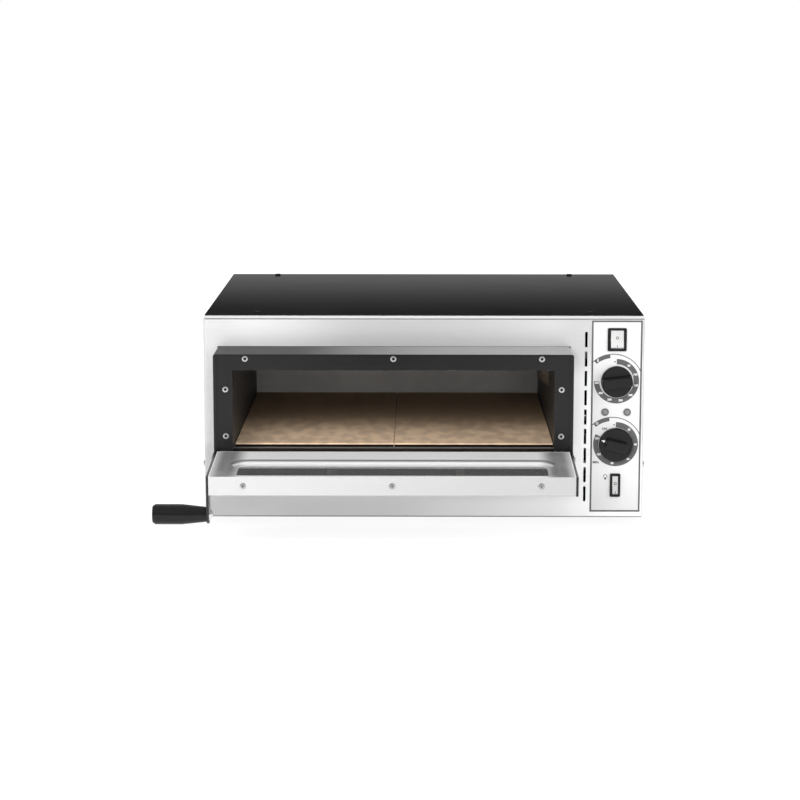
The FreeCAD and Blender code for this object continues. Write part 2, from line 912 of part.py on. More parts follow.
def door_surround():
    x0, x1 = x_chamber - half_hood, x_chamber + half_hood
    rear = y_inside + hood_sheet
    collar = block(x0, x1, y_face, rear, z_hood_bottom, z_hood_top)
    shoulders = edges_at(collar, x=x0, z=z_hood_top) + edges_at(collar, x=x1, z=z_hood_top)
    collar = collar.makeFillet(hood_round, shoulders)
    rim = block(x0 - hood_flange, x_bay - hood_flange_gap, y_inside, rear, z_hood_bottom - hood_flange,
                z_hood_top + hood_flange)
    ears = []
    for side in (-1, 1):
        outer = x_chamber + side * half_hood
        wall = sorted((outer, outer - side * hood_sheet))
        ear = block(wall[0], wall[1], y_pivot - ear_front, y_face + ear_root, z_pivot - ear_fall,
                    z_pivot + ear_rise)
        corners = edges_at(ear, y=y_pivot - ear_front, z=z_pivot + ear_rise)
        corners = corners + edges_at(ear, y=y_pivot - ear_front, z=z_pivot - ear_fall)
        ears.append(ear.makeFillet(ear_rise - fit, corners))
    z_under = z_hood_top - hood_sheet
    inside = block(x0 + hood_sheet, x1 - hood_sheet, y_flange, rear + overrun, z_hood_floor, z_under)
    recess = block(x0 + side_lip, x1 - side_lip, y_face - overrun, y_plate, z_hood_floor, z_under)
    mouth = block(x_chamber - half_opening, x_chamber + half_opening, y_face - overrun, y_flange + overrun,
                  z_hood_floor, z_open)
    bores = [rod(Vector(x0 - overrun, y_pivot, z_pivot), right, x1 - x0 + 2 * overrun, hinge_pin_radius)]
    stop = stop_centre()
    bores.append(rod(Vector(x0 - overrun, stop.y, stop.z), right, x1 - x0 + 2 * overrun, stop_pin_radius))
    bores = bores + holes(surround_seats(), surround_screw_head, surround_screw_length)
    return joined([collar, rim] + ears).cut([inside, recess, mouth] + bores)


def surround_screws():
    seats = surround_seats()
    return [screw(place, way, surround_screw_head, surround_screw_length, True) for place, way in seats]


def chamber_shell():
    x0, x1 = x_chamber - half_shell, x_chamber + half_shell
    z_collar = z_throat + shell_sheet
    reach = half_hood - hood_sheet - flange_gap
    outer = [block(x0, x1, y_step, y_shell_back, z_shell_bottom, z_shell_top),
             block(x0, x1, y_flange, y_chamber, z_hood_floor, z_collar),
             block(x_chamber - reach, x_chamber + reach, y_flange, y_flange + shell_sheet, z_hood_floor,
                   z_hood_top - hood_sheet - flange_gap)]
    x0, x1 = x_chamber - half_chamber, x_chamber + half_chamber
    inner = [block(x0, x1, y_chamber, y_chamber_back, z_floor, z_ceiling),
             block(x0, x1, y_flange - overrun, y_chamber + overrun, z_sill, z_throat)]
    bores = heater_holes(x_wall - overrun, x_wall_out + overrun)
    bores.append(capillary_hole(x_wall - overrun, x_wall_out + overrun, running))
    lamp_mouth = Vector(x_wall - overrun, y_lamp, z_lamp)
    bores.append(rod(lamp_mouth, right, 2 * overrun + shell_sheet, lamp_radius + seat))
    bores = bores + holes(surround_seats(), surround_screw_head, surround_screw_length)
    return joined(outer).cut(inner + bores)


def chamber_stands():
    stands = []
    for side in (-1, 1):
        outer = x_chamber + side * half_shell
        inner = outer - side * stand_width
        span = sorted((outer, inner))
        hollow = sorted((outer - side * stand_sheet, inner - side * overrun))
        channel = block(span[0], span[1], y_step, y_shell_back, z_pan, z_shell_bottom)
        room = block(hollow[0], hollow[1], y_step - overrun, y_shell_back + overrun, z_pan + stand_sheet,
                     z_shell_bottom - stand_sheet)
        stands.append(channel.cut(room))
    return stands


def control_partition():
    wall = block(x_bay, x_bay + sheet, y_inside + sheet + seat, y_back - 2 * sheet - seat, z_pan,
                 z_cover - sheet - seat)
    bores = heater_holes(x_bay - overrun, x_bay + sheet + overrun)
    bores.append(capillary_hole(x_bay - overrun, x_bay + sheet + overrun, seat))
    return wall.cut(bores)


def insulation_top():
    slab = block(x_left + sheet, x_bay, y_wool, y_shell_back, z_shell_top, z_cover - sheet - fit)
    wells = [rod(place, way, casing_screw_length + fit, casing_screw_head) for place, way in cover_seats()]
    return slab.cut(wells)


def insulation_base():
    half = half_shell - stand_width
    return block(x_chamber - half, x_chamber + half, y_step, y_shell_back, z_pan, z_shell_bottom)


def insulation_left():
    return block(x_left + sheet, x_chamber - half_shell, y_wool, y_shell_back, z_shell_bottom, z_shell_top)


def insulation_right():
    slab = block(x_wall_out, x_bay, y_step, y_shell_back, z_shell_bottom, z_shell_top)
    bores = heater_holes(x_wall_out - overrun, x_bay + overrun)
    bores.append(capillary_hole(x_wall_out - overrun, x_bay + overrun, seat))
    place = Vector(x_wall_out, y_lamp, z_lamp)
    bores.append(rod(place, right, lamp_cup_depth + fit, lamp_cup_radius + seat))
    bores.append(rod(place, right, lamp_cup_sheet + seat, lamp_flange_radius + seat))
    return slab.cut(bores)


def insulation_back():
    return block(x_chamber - half_shell, x_chamber + half_shell, y_shell_back,
                 y_shell_back + back_insulation, z_shell_bottom, z_shell_top)


def baking_stone(side):
    outer = x_chamber + side * (half_chamber - stone_gap)
    inner = x_chamber + side * stone_seam / 2
    span = sorted((outer, inner))
    return block(span[0], span[1], y_chamber + stone_gap, y_chamber_back - stone_gap, z_stone_under,
                 z_stone)


def stone_supports():
    """An angle along each side wall and a beam under the seam between the stones."""
    supports = []
    for side in (-1, 1):
        wall = x_chamber + side * half_chamber
        shelf = sorted((wall, wall - side * ledge_width))
        leg = sorted((wall, wall - side * ledge_sheet))
        sides = []
        for span, fall in ((shelf, ledge_sheet), (leg, ledge_drop)):
            sides.append(block(span[0], span[1], y_chamber, y_chamber_back, z_stone_under - fall,
                               z_stone_under))
        supports.append(joined(sides))
    supports.append(block(x_chamber - beam_width / 2, x_chamber + beam_width / 2, y_chamber, y_chamber_back,
                          z_stone_under - beam_height, z_stone_under))
    return supports


def heater(z):
    """A tube that snakes across the chamber, with both ends through the right wall."""
    near, far = x_chamber + heater_run_half, x_chamber - heater_run_half
    x_end = x_bay + sheet + heater_reach
    radius = heater_pitch / 2
    edges = []
    for index in range(heater_runs):
        y = y_heater_first + heater_pitch * index
        leftward = index % 2 == 0
        x0, x1 = (near, far) if leftward else (far, near)
        x0 = x_end if index == 0 else x0
        x1 = x_end if index == heater_runs - 1 else x1
        edges.append(Part.LineSegment(Vector(x0, y, z), Vector(x1, y, z)).toShape())
        if index < heater_runs - 1:
            bulge = x1 - radius if leftward else x1 + radius
            middle = Vector(bulge, y + radius, z)
            turn = Part.Arc(Vector(x1, y, z), middle, Vector(x1, y + heater_pitch, z))
            edges.append(turn.toShape())
    section = Part.Wire(Part.makeCircle(heater_radius, Vector(x_end, y_heater_first, z), left))
    body = Part.Wire(edges).makePipeShell([section], True, False)
    pins = []
    for y in (y_heater_first, y_heater_last):
        pins.append(rod(Vector(x_end, y, z), right, terminal_length, terminal_radius))
    return joined([body] + pins)


def heater_supports():
    """Straps hung from the ceiling under the upper heater, and bars on the floor under the lower one."""
    supports = []
    y0, y1 = y_heater_first - support_overhang, y_heater_last + support_overhang
    for side in (-1, 1):
        x = x_chamber + side * support_offset
        x0, x1 = x - support_width / 2, x + support_width / 2
        top = z_upper_heater - heater_radius - seat
        strap = [block(x0, x1, y0, y1, top - support_sheet, top),
                 block(x0, x1, y0, y0 + support_sheet, top - support_sheet, z_ceiling),
                 block(x0, x1, y1 - support_sheet, y1, top - support_sheet, z_ceiling)]
        supports.append(joined(strap))
        supports.append(block(x - support_sheet, x + support_sheet, y0, y1, z_floor,
                              z_lower_heater - heater_radius - seat))
    return supports


def heater_bushes():
    bushes = []
    for y, z in heater_ends():
        place = Vector(x_bay + sheet, y, z)
        bushes.append(tube(place, right, heater_bush_length, heater_bush_radius, heater_radius))
    return bushes


def lamp_point(reach):
    return Vector(x_wall_out + reach, y_lamp, z_lamp)


def lamp_cup():
    pieces = [rod(lamp_point(0), right, lamp_cup_sheet, lamp_flange_radius),
              rod(lamp_point(0), right, lamp_cup_depth, lamp_cup_radius)]
    return joined(pieces).cut(rod(lamp_point(0), right, lamp_cup_depth - lamp_cup_sheet,
                                  lamp_cup_radius - lamp_cup_sheet))


def lamp_socket():
    return rod(lamp_point(lamp_cup_depth - lamp_cup_sheet), left, socket_length, socket_radius)


def lamp_bulb():
    neck = lamp_point(lamp_cup_depth - lamp_cup_sheet - socket_length)
    centre = neck - right * (bulb_neck_length + bulb_radius - bulb_neck_radius / 2)
    return joined([rod(neck, left, bulb_neck_length + bulb_neck_radius / 2, bulb_neck_radius),
                   Part.makeSphere(bulb_radius, centre)])


def lamp_glass():
    ball_radius = (lamp_radius ** 2 + lamp_bulge ** 2) / (2 * lamp_bulge)
    centre = lamp_point(ball_radius - lamp_bulge)
    keep = rod(lamp_point(0), left, lamp_bulge + overrun, ball_radius)
    dome = Part.makeSphere(ball_radius, centre).common(keep)
    hollow = Part.makeSphere(ball_radius - lamp_wall, centre)
    skirt = tube(lamp_point(0), right, lamp_skirt, lamp_radius, lamp_radius - lamp_wall)
    return joined([dome.cut(hollow), skirt])


# Door, built shut and then swung open

def opened(shape):
    shape.rotate(pivot, right, door_open_angle)
    return shape


def window_cut(margin, y0, y1):
    """The window's outline, grown by a margin."""
    return rounded_slab(x_chamber - half_window - margin, x_chamber + half_window + margin, y0, y1,
                        z_window - margin, z_window_top + margin, window_round + margin)


def door_outer_panel():
    outer_radius = door_bend_radius + door_sheet
    solids = []
    outside = (0, outer_radius, y_outer, y_inner)
    inside = (door_sheet, door_bend_radius, y_outer + door_sheet, y_inner + overrun)
    for inset, radius, near, far in (outside, inside):
        reach = half_tray - inset
        solid = block(x_chamber - reach, x_chamber + reach, near, far, z_door + inset, z_door_top - inset)
        solids.append(solid.makeFillet(radius, edges_at(solid, y=near)))
    tray = solids[0].cut(solids[1])
    window = window_cut(0, y_outer - overrun, y_outer + door_sheet + overrun)
    return opened(tray.cut([window] + door_holes()))


def liner_box(inset, y0, y1):
    gap = door_sheet + seat + inset
    return block(x_chamber - half_tray + gap, x_chamber + half_tray - gap, y0, y1, z_door + gap,
                 z_door_top - gap)


def pressed_solid():
    """The liner's pressed face as a block, with a dished ring round the window."""
    solid = liner_box(0, y_inner - liner_flange, y_inner)
    upper_room = window_top_margin - door_sheet - seat - liner_land
    rings = []
    for rise, step in zip(ring_rise_shares, ring_step_shares):
        out = ring_width * (1 - step)
        out_top = min(out, upper_room * (1 - step))
        reach = half_window + out
        rings.append(rounded_loop(x_chamber - reach, x_chamber + reach, z_window - out,
                                  z_window_top + out_top, y_inner - ring_depth * rise, window_round + out_top))
    return solid.cut(Part.makeLoft(rings, True, True))


def door_inner_panel():
    face = pressed_solid()
    lower = face.copy()
    lower.translate(front * liner_sheet)
    skin = face.cut(lower)
    flange = liner_box(0, y_inner - liner_flange, y_inner - liner_sheet / 2)
    flange = flange.cut(liner_box(liner_sheet, y_inner - liner_flange - overrun, y_inner + overrun))
    liner = joined([skin, flange])
    window = window_cut(0, y_inner - liner_flange - overrun, y_inner + overrun)
    return opened(liner.cut([window] + door_holes()))


def glass_face():
    return y_inner - ring_depth - liner_sheet - seat


def door_glass():
    return opened(window_cut(glass_overlap, glass_face() - glass_thickness, glass_face()))


def window_frame():
    near, far = y_outer + door_sheet, glass_face() - glass_thickness
    return opened(window_cut(frame_wall, near, far).cut(window_cut(0, near - overrun, far + overrun)))


def door_insulation():
    near = y_outer + door_sheet
    wool = block(x_chamber - half_tray + door_wool_margin, x_chamber + half_tray - door_wool_margin, near,
                 near + door_wool_thickness, z_door + door_wool_margin, z_door_top - door_wool_margin)
    hole = window_cut(frame_wall + seat, near - overrun, near + door_wool_thickness + overrun)
    return opened(wool.cut(hole))


def door_screws():
    seats = edge_seats() + plate_seats()
    return [opened(screw(place, way, door_screw_head, door_screw_length)) for place, way in seats]


def hinge_bore(radius):
    reach = half_hood + overrun
    return rod(Vector(x_chamber - reach, y_pivot, z_pivot), right, 2 * reach, radius)


def plate_span(side):
    outer = x_chamber + side * half_plates
    return sorted((outer, outer - side * plate_thickness))


def plate_blank(side):
    x0, x1 = plate_span(side)
    strip = block(x0, x1, y_outer, y_inner, z_pivot, z_door_top)
    lug = rod(Vector(x0, y_pivot, z_pivot), right, plate_thickness, lug_radius)
    return [strip, lug]


def handle_lever():
    x0, x1 = plate_span(-1)
    arm = block(x0, x1, y_grip, y_outer, z_door_top - arm_width, z_door_top)
    tip = rod(Vector(x0, y_grip, z_grip), right, plate_thickness, arm_width / 2)
    hole = rod(Vector(x0 - overrun, y_grip, z_grip), right, plate_thickness + 2 * overrun, bolt_radius)
    lever = joined(plate_blank(-1) + [arm, tip])
    return opened(lever.cut([hole, hinge_bore(hinge_pin_radius + bush_wall)] + door_holes()))


def right_hinge_plate():
    plate = joined(plate_blank(1))
    return opened(plate.cut([hinge_bore(hinge_pin_radius + bush_wall)] + door_holes()))


def handle_grip():
    """A round grip that tapers towards the lever, turned about its own axis."""
    x0 = x_chamber - half_plates
    shape_shares = ((grip_neck_radius, 0), (grip_radius, grip_taper_share), (grip_radius, grip_end_share),
                    (grip_radius * grip_end_radius_share, 1))
    outline = [Vector(x0, y_grip, z_grip)]
    for radius, share in shape_shares:
        outline.append(Vector(x0 - grip_length * share, y_grip, z_grip + radius))
    outline.append(Vector(x0 - grip_length, y_grip, z_grip))
    outline.append(outline[0])
    turned = Part.Face(Part.makePolygon(outline)).revolve(Vector(x0, y_grip, z_grip), right, 360)
    return opened(turned.cut(rod(Vector(x0, y_grip, z_grip), left, bolt_length, bolt_radius)))


def handle_bolt():
    x0 = x_chamber - half_plates + plate_thickness
    centre = Vector(x0, y_grip, z_grip)
    ball_radius = (bolt_head_radius ** 2 + bolt_head_height ** 2) / (2 * bolt_head_height)
    ball = Part.makeSphere(ball_radius, centre - right * (ball_radius - bolt_head_height))
    head = ball.common(rod(centre, right, bolt_head_height + overrun, ball_radius))
    return opened(joined([head, rod(centre, left, plate_thickness + bolt_length, bolt_radius)]))


def hinge_bushes():
    bushes = []
    for side in (-1, 1):
        x0 = plate_span(side)[0]
        start = Vector(x0, y_pivot, z_pivot)
        bushes.append(tube(start, right, plate_thickness, hinge_pin_radius + bush_wall,
                           hinge_pin_radius + running))
    return bushes


def hinge_pins():
    pins = []
    for side in (-1, 1):
        start = Vector(x_chamber + side * half_hood, y_pivot, z_pivot)
        inward = right * -side
        shank = rod(start, inward, half_hood - half_tray, hinge_pin_radius)
        pins.append(joined([shank, rod(start, inward * -1, hinge_pin_head_height, hinge_pin_head)]))
    return pins


def stop_centre():
    """A stop pin lies just under the open door's edge."""
    shut = Vector(x_chamber, y_outer - stop_gap - stop_pin_radius, z_pivot + stop_pin_reach)
    return swung_open(shut)


def door_stops():
    stop = stop_centre()
    length = half_hood - half_tray
    places = ((x_chamber - half_hood, right), (x_chamber + half_hood, left))
    return [rod(Vector(x, stop.y, stop.z), inward, length, stop_pin_radius) for x, inward in places]


def pieces():
    """Every piece by name; identical small pieces share a name."""
    return {
        "base_pan": base_pan(),
        "rubber_feet": rubber_feet(),
        "foot_screws": foot_screws(),
        "front_panel": front_panel(),
        "left_side_panel": side_panel(-1),
        "right_side_panel": side_panel(1),
        "back_panel": back_panel(),
        "top_cover": top_cover(),
        "casing_screws": casing_screws(),
        "cable_gland": cable_gland(),
        "terminal_block": terminal_block(),
        "wiring_loom": wiring_loom(),
        "control_overlay": control_overlay(),
        "main_switch_housing": switch_housing(main_rocker_width, main_rocker_radius, main_switch_drop,
                                              main_bezel_width, main_bezel_height),
        "main_switch_rocker": switch_rocker(main_rocker_width, main_rocker_radius, main_switch_drop),
        "lamp_switch_housing": switch_housing(lamp_rocker_width, lamp_rocker_radius, lamp_switch_drop,
                                              lamp_bezel_width, lamp_bezel_height),
        "lamp_switch_rocker": switch_rocker(lamp_rocker_width, lamp_rocker_radius, lamp_switch_drop),
        "thermostat_body": dial_body(thermostat_drop, thermostat_size),
        "thermostat_shaft": dial_shaft(thermostat_drop),
        "thermostat_knob": dial_knob(thermostat_drop, thermostat_knob_radius, thermostat_pointer_angle,
                                     thermostat_bar_share),
        "thermostat_probe": thermostat_probe(),
        "timer_body": dial_body(timer_drop, timer_size),
        "timer_shaft": dial_shaft(timer_drop),
        "timer_knob": dial_knob(timer_drop, timer_knob_radius, timer_pointer_angle, timer_bar_share),
        "pilot_bezels": pilot_bezels(),
        "pilot_lenses": pilot_lenses(),
        "door_surround": door_surround(),
        "surround_screws": surround_screws(),
        "chamber_shell": chamber_shell(),
        "chamber_stands": chamber_stands(),
        "control_partition": control_partition(),
        "insulation_top": insulation_top(),
        "insulation_base": insulation_base(),
        "insulation_left": insulation_left(),
        "insulation_right": insulation_right(),
        "insulation_back": insulation_back(),
        "stone_left": baking_stone(-1),
        "stone_right": baking_stone(1),
        "stone_supports": stone_supports(),
        "upper_heater": heater(z_upper_heater),
        "lower_heater": heater(z_lower_heater),
        "heater_supports": heater_supports(),
        "heater_bushes": heater_bushes(),
        "lamp_cup": lamp_cup(),
        "lamp_socket": lamp_socket(),
        "lamp_bulb": lamp_bulb(),
        "lamp_glass": lamp_glass(),
        "door_outer_panel": door_outer_panel(),
        "door_inner_panel": door_inner_panel(),
        "door_glass": door_glass(),
        "window_frame": window_frame(),
        "door_insulation": door_insulation(),
        "door_screws": door_screws(),
        "handle_lever": handle_lever(),
        "right_hinge_plate": right_hinge_plate(),
        "handle_grip": handle_grip(),
        "handle_bolt": handle_bolt(),
        "hinge_bushes": hinge_bushes(),
        "hinge_pins": hinge_pins(),
        "door_stops": door_stops(),
    }


def main():
    os.makedirs("parts", exist_ok=True)
    for name, made in pieces().items():
        solids = made if isinstance(made, list) else [made]
        shape = Part.makeCompound(solids) if len(solids) > 1 else solids[0]
        shape.translate(to_origin)
        if not shape.isValid():
            raise ValueError("not a sound shape: " + name)
        shape.exportStep("parts/" + name + ".step")


if __name__ == "__main__":
    main()
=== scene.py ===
import json
import math

import bmesh
import bpy
from mathutils import Matrix, Vector


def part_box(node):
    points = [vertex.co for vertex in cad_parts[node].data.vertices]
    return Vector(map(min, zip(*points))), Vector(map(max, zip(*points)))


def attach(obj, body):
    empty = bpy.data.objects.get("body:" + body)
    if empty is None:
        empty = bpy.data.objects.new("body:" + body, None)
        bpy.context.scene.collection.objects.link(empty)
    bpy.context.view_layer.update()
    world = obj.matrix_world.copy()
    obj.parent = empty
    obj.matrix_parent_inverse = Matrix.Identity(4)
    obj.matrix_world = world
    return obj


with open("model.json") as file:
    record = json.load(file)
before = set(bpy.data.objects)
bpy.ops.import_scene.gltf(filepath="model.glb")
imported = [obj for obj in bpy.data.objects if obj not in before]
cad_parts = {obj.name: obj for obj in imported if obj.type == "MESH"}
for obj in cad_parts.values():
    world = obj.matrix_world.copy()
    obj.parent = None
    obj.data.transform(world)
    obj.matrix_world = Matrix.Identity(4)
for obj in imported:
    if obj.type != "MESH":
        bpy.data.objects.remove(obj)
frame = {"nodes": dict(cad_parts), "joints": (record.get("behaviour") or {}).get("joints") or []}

bl_info = {
    "name": "Pizza oven finishes",
    "version": (1, 0, 0),
    "blender": (4, 5, 0),
    "location": "View3D > Sidebar > Oven",
    "description": "Finishes, dial printing and a small studio for a counter-top pizza oven",
    "category": "Object",
}

# The frame: node objects, joint places and the box of the bare model, all in metres
NODES = frame["nodes"]
JOINTS = {joint["name"]: Vector(joint["pos_m"]) for joint in frame["joints"]}
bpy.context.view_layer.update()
OVERLAY_LOW, OVERLAY_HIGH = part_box("control_overlay")
FRONT = Vector((0.0, -1.0, 0.0))
UP = Vector((0.0, 0.0, 1.0))

# Which way the brushing or rolling lines run: the stretch of a pattern along X, Y and Z, per metre
LINES_ALONG_X = (6.0, 1500.0, 1500.0)
LINES_ALONG_Y = (1500.0, 6.0, 1500.0)

# Tones and patterns that several finishes share
# Painted light: the pale colour of places and faces painted as if lit or catching a highlight
PAINTED_LIGHT = (0.97, 0.97, 0.97)
PLATING = (0.7, 0.7, 0.7)
PLATING_TONES = (0.88, 1.08)
SPOTS = (900.0, 2.0)

# Where the front panel's painted light and shade change: spans along X or Z in metres, from no change to the
# full one
FOOT_TOP, FOOT_LOW = (0.085, 0.12), (0.045, 0.03)
FOOT_START, FOOT_RIGHT = (-0.245, -0.165), (-0.03, 0.07)
LEFT_START, LEFT_END = (-0.245, -0.195), (-0.06, -0.18)
STRIP_START, STRIP_END = (0.203, 0.21), (0.245, 0.237)
STRIP_FOOT, STRIP_HEAD = (0.083, 0.118), (0.226, 0.19)
CORNER_START, CORNER_FOOT = (0.17, 0.22), (0.215, 0.235)
HEM_TOP, HEM_DARK = 0.0017, 0.0012

# The dish in the door's liner, and where the painted shade in a screw's recess begins and ends, in metres
DISH_DEPTH = 0.005
COLLAR_RECESS = (0.0006, 0.0009)
DOOR_RECESS = (0.0005, 0.0008)

# Dials: joint, ring, figures, place of the first figure and step to the next.
# Angles are counter-clockwise from three o'clock, in degrees.
DIALS = (
    ("thermostat_turn", (-180.0, 90.0), ("50", "100", "150", "200", "250", "300", "350", "400"), 52.5, -32.5),
    ("timer_turn", (-207.0, 90.0), ("20", "40", "60", "80", "100", "120"), 48.0, -49.0),
)
OUTER_ARC = (24.5, 133.0)
THICK_ARC = (96.5, 129.5)
ICON_ANGLE = 123.0
OFF_ANGLE = 95.0
ARC_STEP = 3.0

# Places on the film, from the middle of the control they belong to: across and up, in metres
ON_PLACE = (-0.0146, 0.0198)
MINUTES_PLACE = (-0.0247, -0.0236)
BULB_PLACE = (-0.0125, 0.0115)

# Small marks: inner and outer radii of circles, ends and widths of bars, in metres; weight of the letters
BULB_RADII, CAP_ENDS, CAP_WIDTH = (0.0018, 0.0025), (-0.0026, -0.0044), 0.0022
MARK_RADII, BAR_HALF, BAR_WIDTH = (0.0011, 0.0019), 0.0017, 0.0008
LETTER_WEIGHT = 0.035

# Lamps: place, width and height in metres; all are aimed at one point
LAMP_AIM = Vector((0.0, -0.05, 0.13))
LAMPS = {
    "key": ((-0.5, -2.3, 1.15), 1.8, 0.9),
    "fill": ((1.7, -1.5, 1.0), 1.4, 1.2),
    "low": ((0.0, -2.6, 0.32), 1.0, 0.3),
    "top": ((0.0, -0.3, 2.2), 2.0, 0.4),
}

# Cards: lowest and highest corner in metres, and glow; where they fade
FLAG = (-0.5, -1.3, 0.0), (0.6, -1.3, 1.2), 0.25
BACKDROP = (-1.5, 0.55, 0.27), (1.5, 0.55, 0.75), 0.006
STRIP = (-1.5, 1.5, 1.75), (1.5, 1.5, 2.15), 2.5
FLAG_MIDDLE, FLAG_REACH = -0.01, 0.36
BACKDROP_FADE = (0.285, 0.36)
STRIP_FADES = (1.75, 1.85), (2.15, 2.05)

# The floor's glow and its share by the distance from the middle; the sky's level in reflections by the rise
FLOOR_GLOW = 1.24
FLOOR_SHARE = (0.5, 1.6, 0.7, 1.0)
SKY = (0.05, 0.8, 0.25, 0.5)


# Properties

def number(name, description, default, **limits):
    return bpy.props.FloatProperty(name=name, description=description, default=default, **limits)


def numbers(name, description, default, **limits):
    return bpy.props.FloatVectorProperty(name=name, description=description, default=default, **limits)


def tint(name, description, default):
    return numbers(name, description, default, subtype="COLOR", min=0.0, max=1.0)


def share(name, description, default):
    return number(name, description, default, subtype="FACTOR", min=0.0, max=1.0)


def length(name, description, default):
    return number(name, description, default, unit="LENGTH", min=0.0)


def pair(name, description, default):
    return numbers(name, description, default, size=2, unit="LENGTH")


def angle(name, description, degrees):
    return number(name, description, math.radians(degrees), subtype="ANGLE")


def wattage(name, description, default):
    return number(name, description, default, unit="POWER", min=0.0)


def grey(level):
    return level, level, level


class OvenFinishes(bpy.types.PropertyGroup):
    """Colours and surfaces of the oven's materials."""

    steel: tint("Stainless steel", "Colour of the brushed panels", grey(0.665))
    steel_roughness: share("Steel roughness", "How far the brushing spreads reflections", 0.33)
    liner: tint("Door liner", "Colour of the satin sheet inside the door", grey(0.84))
    enamel: tint("Black enamel", "Colour of the collar, lever and top cover", (0.008, 0.008, 0.0083))
    enamel_roughness: share("Enamel roughness", "Gloss of the collar and lever", 0.2)
    cover_roughness: share("Top cover roughness", "Gloss of the top cover", 0.12)
    chamber: tint("Chamber steel", "Colour of the heat-toned chamber sheet", (0.8, 0.795, 0.785))
    # Painted shade: the colour of the chamber's walls that do not face the front
    chamber_side_shade: tint("Chamber sides", "Colour of the chamber's darkened side walls", (0.075, 0.07, 0.065))
    stone: tint("Baking stone", "Colour of the fired stone", (0.93, 0.68, 0.47))
    plastic: tint("Black plastic", "Colour of the knobs and the grip", (0.007, 0.007, 0.0072))
    rocker: tint("Rocker", "Colour of the rocker paddles", (0.5, 0.5, 0.495))
    film: tint("Control film", "Colour of the control column's film", grey(0.66))
    edge: length("Fine edge", "Width of the rounding on knobs and bezels", 0.00025)
    moulded_edge: length("Moulded edge", "Width of the rounding on moulded pieces", 0.0007)


class OvenPrinting(bpy.types.PropertyGroup):
    """Sizes and colours of the printing on the control column."""

    ink: tint("Ink", "Colour of the rings, arcs and border", (0.09, 0.09, 0.093))
    dark_ink: tint("Dark ink", "Colour of the words and marks", (0.02, 0.02, 0.021))
    figures: tint("Figures", "Colour of the figures on the rings", grey(0.86))
    thickness: length("Ink thickness", "How far the printing stands proud", 0.00006)
    border: length("Border", "Width of the line round the film", 0.0021)
    ring_inner: length("Ring inside", "Inner radius of a dial's ring", 0.0218)
    ring_outer: length("Ring outside", "Outer radius of a dial's ring", 0.0286)
    arc_radius: length("Arc radius", "Outer radius of the arc above a dial", 0.0388)
    arc_line: length("Arc line", "Width of the thin arc", 0.0011)
    arc_band: length("Arc band", "Width of the thick part of the arc", 0.0054)
    arc_shift: pair("Arc shift", "From a dial's middle to its arc's middle", (-0.0042, -0.0035))
    figure_height: length("Figure height", "Height of the figures on the rings", 0.0036)
    word_height: length("Word height", "Height of the words beside the dials", 0.0042)
    pointer_angle: angle("Timer pointer", "Where the timer's pointer stands at rest", 161.5)
    pointer_reach: pair("Pointer reach", "Tip and tail from the knob's middle", (0.0197, 0.0152))
    pointer_half: length("Pointer half width", "Half the width of the pointer's tail", 0.0018)
    mark_places: pair("Rocker marks", "Heights of circle and bar above a rocker's axle", (0.0024, -0.0082))


class OvenStudio(bpy.types.PropertyGroup):
    """Camera, lamps and floor."""

    camera_place: numbers("Camera", "Where the camera stands", (0.01545, -3.01181, 0.6486),
                          subtype="XYZ", unit="LENGTH")
    camera_pitch: angle("Pitch", "How far the camera looks down", 9.562)
    camera_yaw: angle("Yaw", "How far the camera looks to the left", 0.49)
    camera_lens: number("Lens", "Focal length on a sensor 36 mm wide", 102.54, subtype="DISTANCE_CAMERA")
    floor_size: length("Floor", "Side of the floor", 30.0)
    key_power: wattage("Key", "Power of the soft lamp on the left", 56.0)
    fill_power: wattage("Fill", "Power of the soft lamp on the right", 18.0)
    top_power: wattage("Top", "Power of the lamp overhead", 20.0)
    low_power: wattage("Low", "Power of the low lamp that reaches the chamber's back", 4.3)
    ambient: number("Ambient", "Level of the even light all round", 0.3, min=0.0)


class Wire:
    """A socket in a node tree; sums of wires and numbers add Math nodes."""

    def __init__(self, tree, socket=None):
        self.tree = tree
        self.socket = socket

    def node(self, kind, settings=(), inputs=(), output=0):
        """Adds any shader node: its settings first, then the values or links of its sockets."""
        made = self.tree.nodes.new("ShaderNode" + kind)
        for name, value in dict(settings).items():
            setattr(made, name, value)
        for name, value in dict(inputs).items():
            plug(value, made.inputs[name])
        return Wire(self.tree, made.outputs[output])

    def maths(self, operation, *values):
        return self.node("Math", {"operation": operation}, dict(enumerate(values)))

    def __add__(self, other):
        return self.maths("ADD", self, other)

    __radd__ = __add__

    def __sub__(self, other):
        return self.maths("SUBTRACT", self, other)

    def __rsub__(self, other):
        return self.maths("SUBTRACT", other, self)

    def __mul__(self, other):
        return self.maths("MULTIPLY", self, other)

    __rmul__ = __mul__

    def __abs__(self):
        return self.maths("ABSOLUTE", self)


# Material helpers; a wire among the arguments says in which tree the nodes are made

def plug(value, socket):
    """Links a wire to a socket, or sets the socket's own value."""
    if isinstance(value, Wire):
        value.tree.links.new(value.socket, socket)
    else:
        socket.default_value = value


def start_finish(name):
    """A new material and a wire with the coordinates of its piece, in metres."""
    material = bpy.data.materials.new(name)
    material.use_nodes = True
    return material, Wire(material.node_tree).node("TexCoord", output="Object")


def finish(material, **sockets):
    """Plugs wires or even values into the material's shader; _ stands for a space in a socket's name."""
    shader = material.node_tree.nodes["Principled BSDF"]
    for name, value in sockets.items():
        plug(value, shader.inputs[name.replace("_", " ")])
    return material


def vector_maths(operation, *vectors, output=0):
    return vectors[0].node("VectorMath", {"operation": operation}, dict(enumerate(vectors)), output)


def stretched(place, stretch):
    """Coordinates for a pattern, stretched along each axis."""
    return vector_maths("MULTIPLY", place, stretch)


def along(vector, axis):
    """One coordinate of a vector."""
    return vector.node("SeparateXYZ", inputs={"Vector": vector}, output=axis)


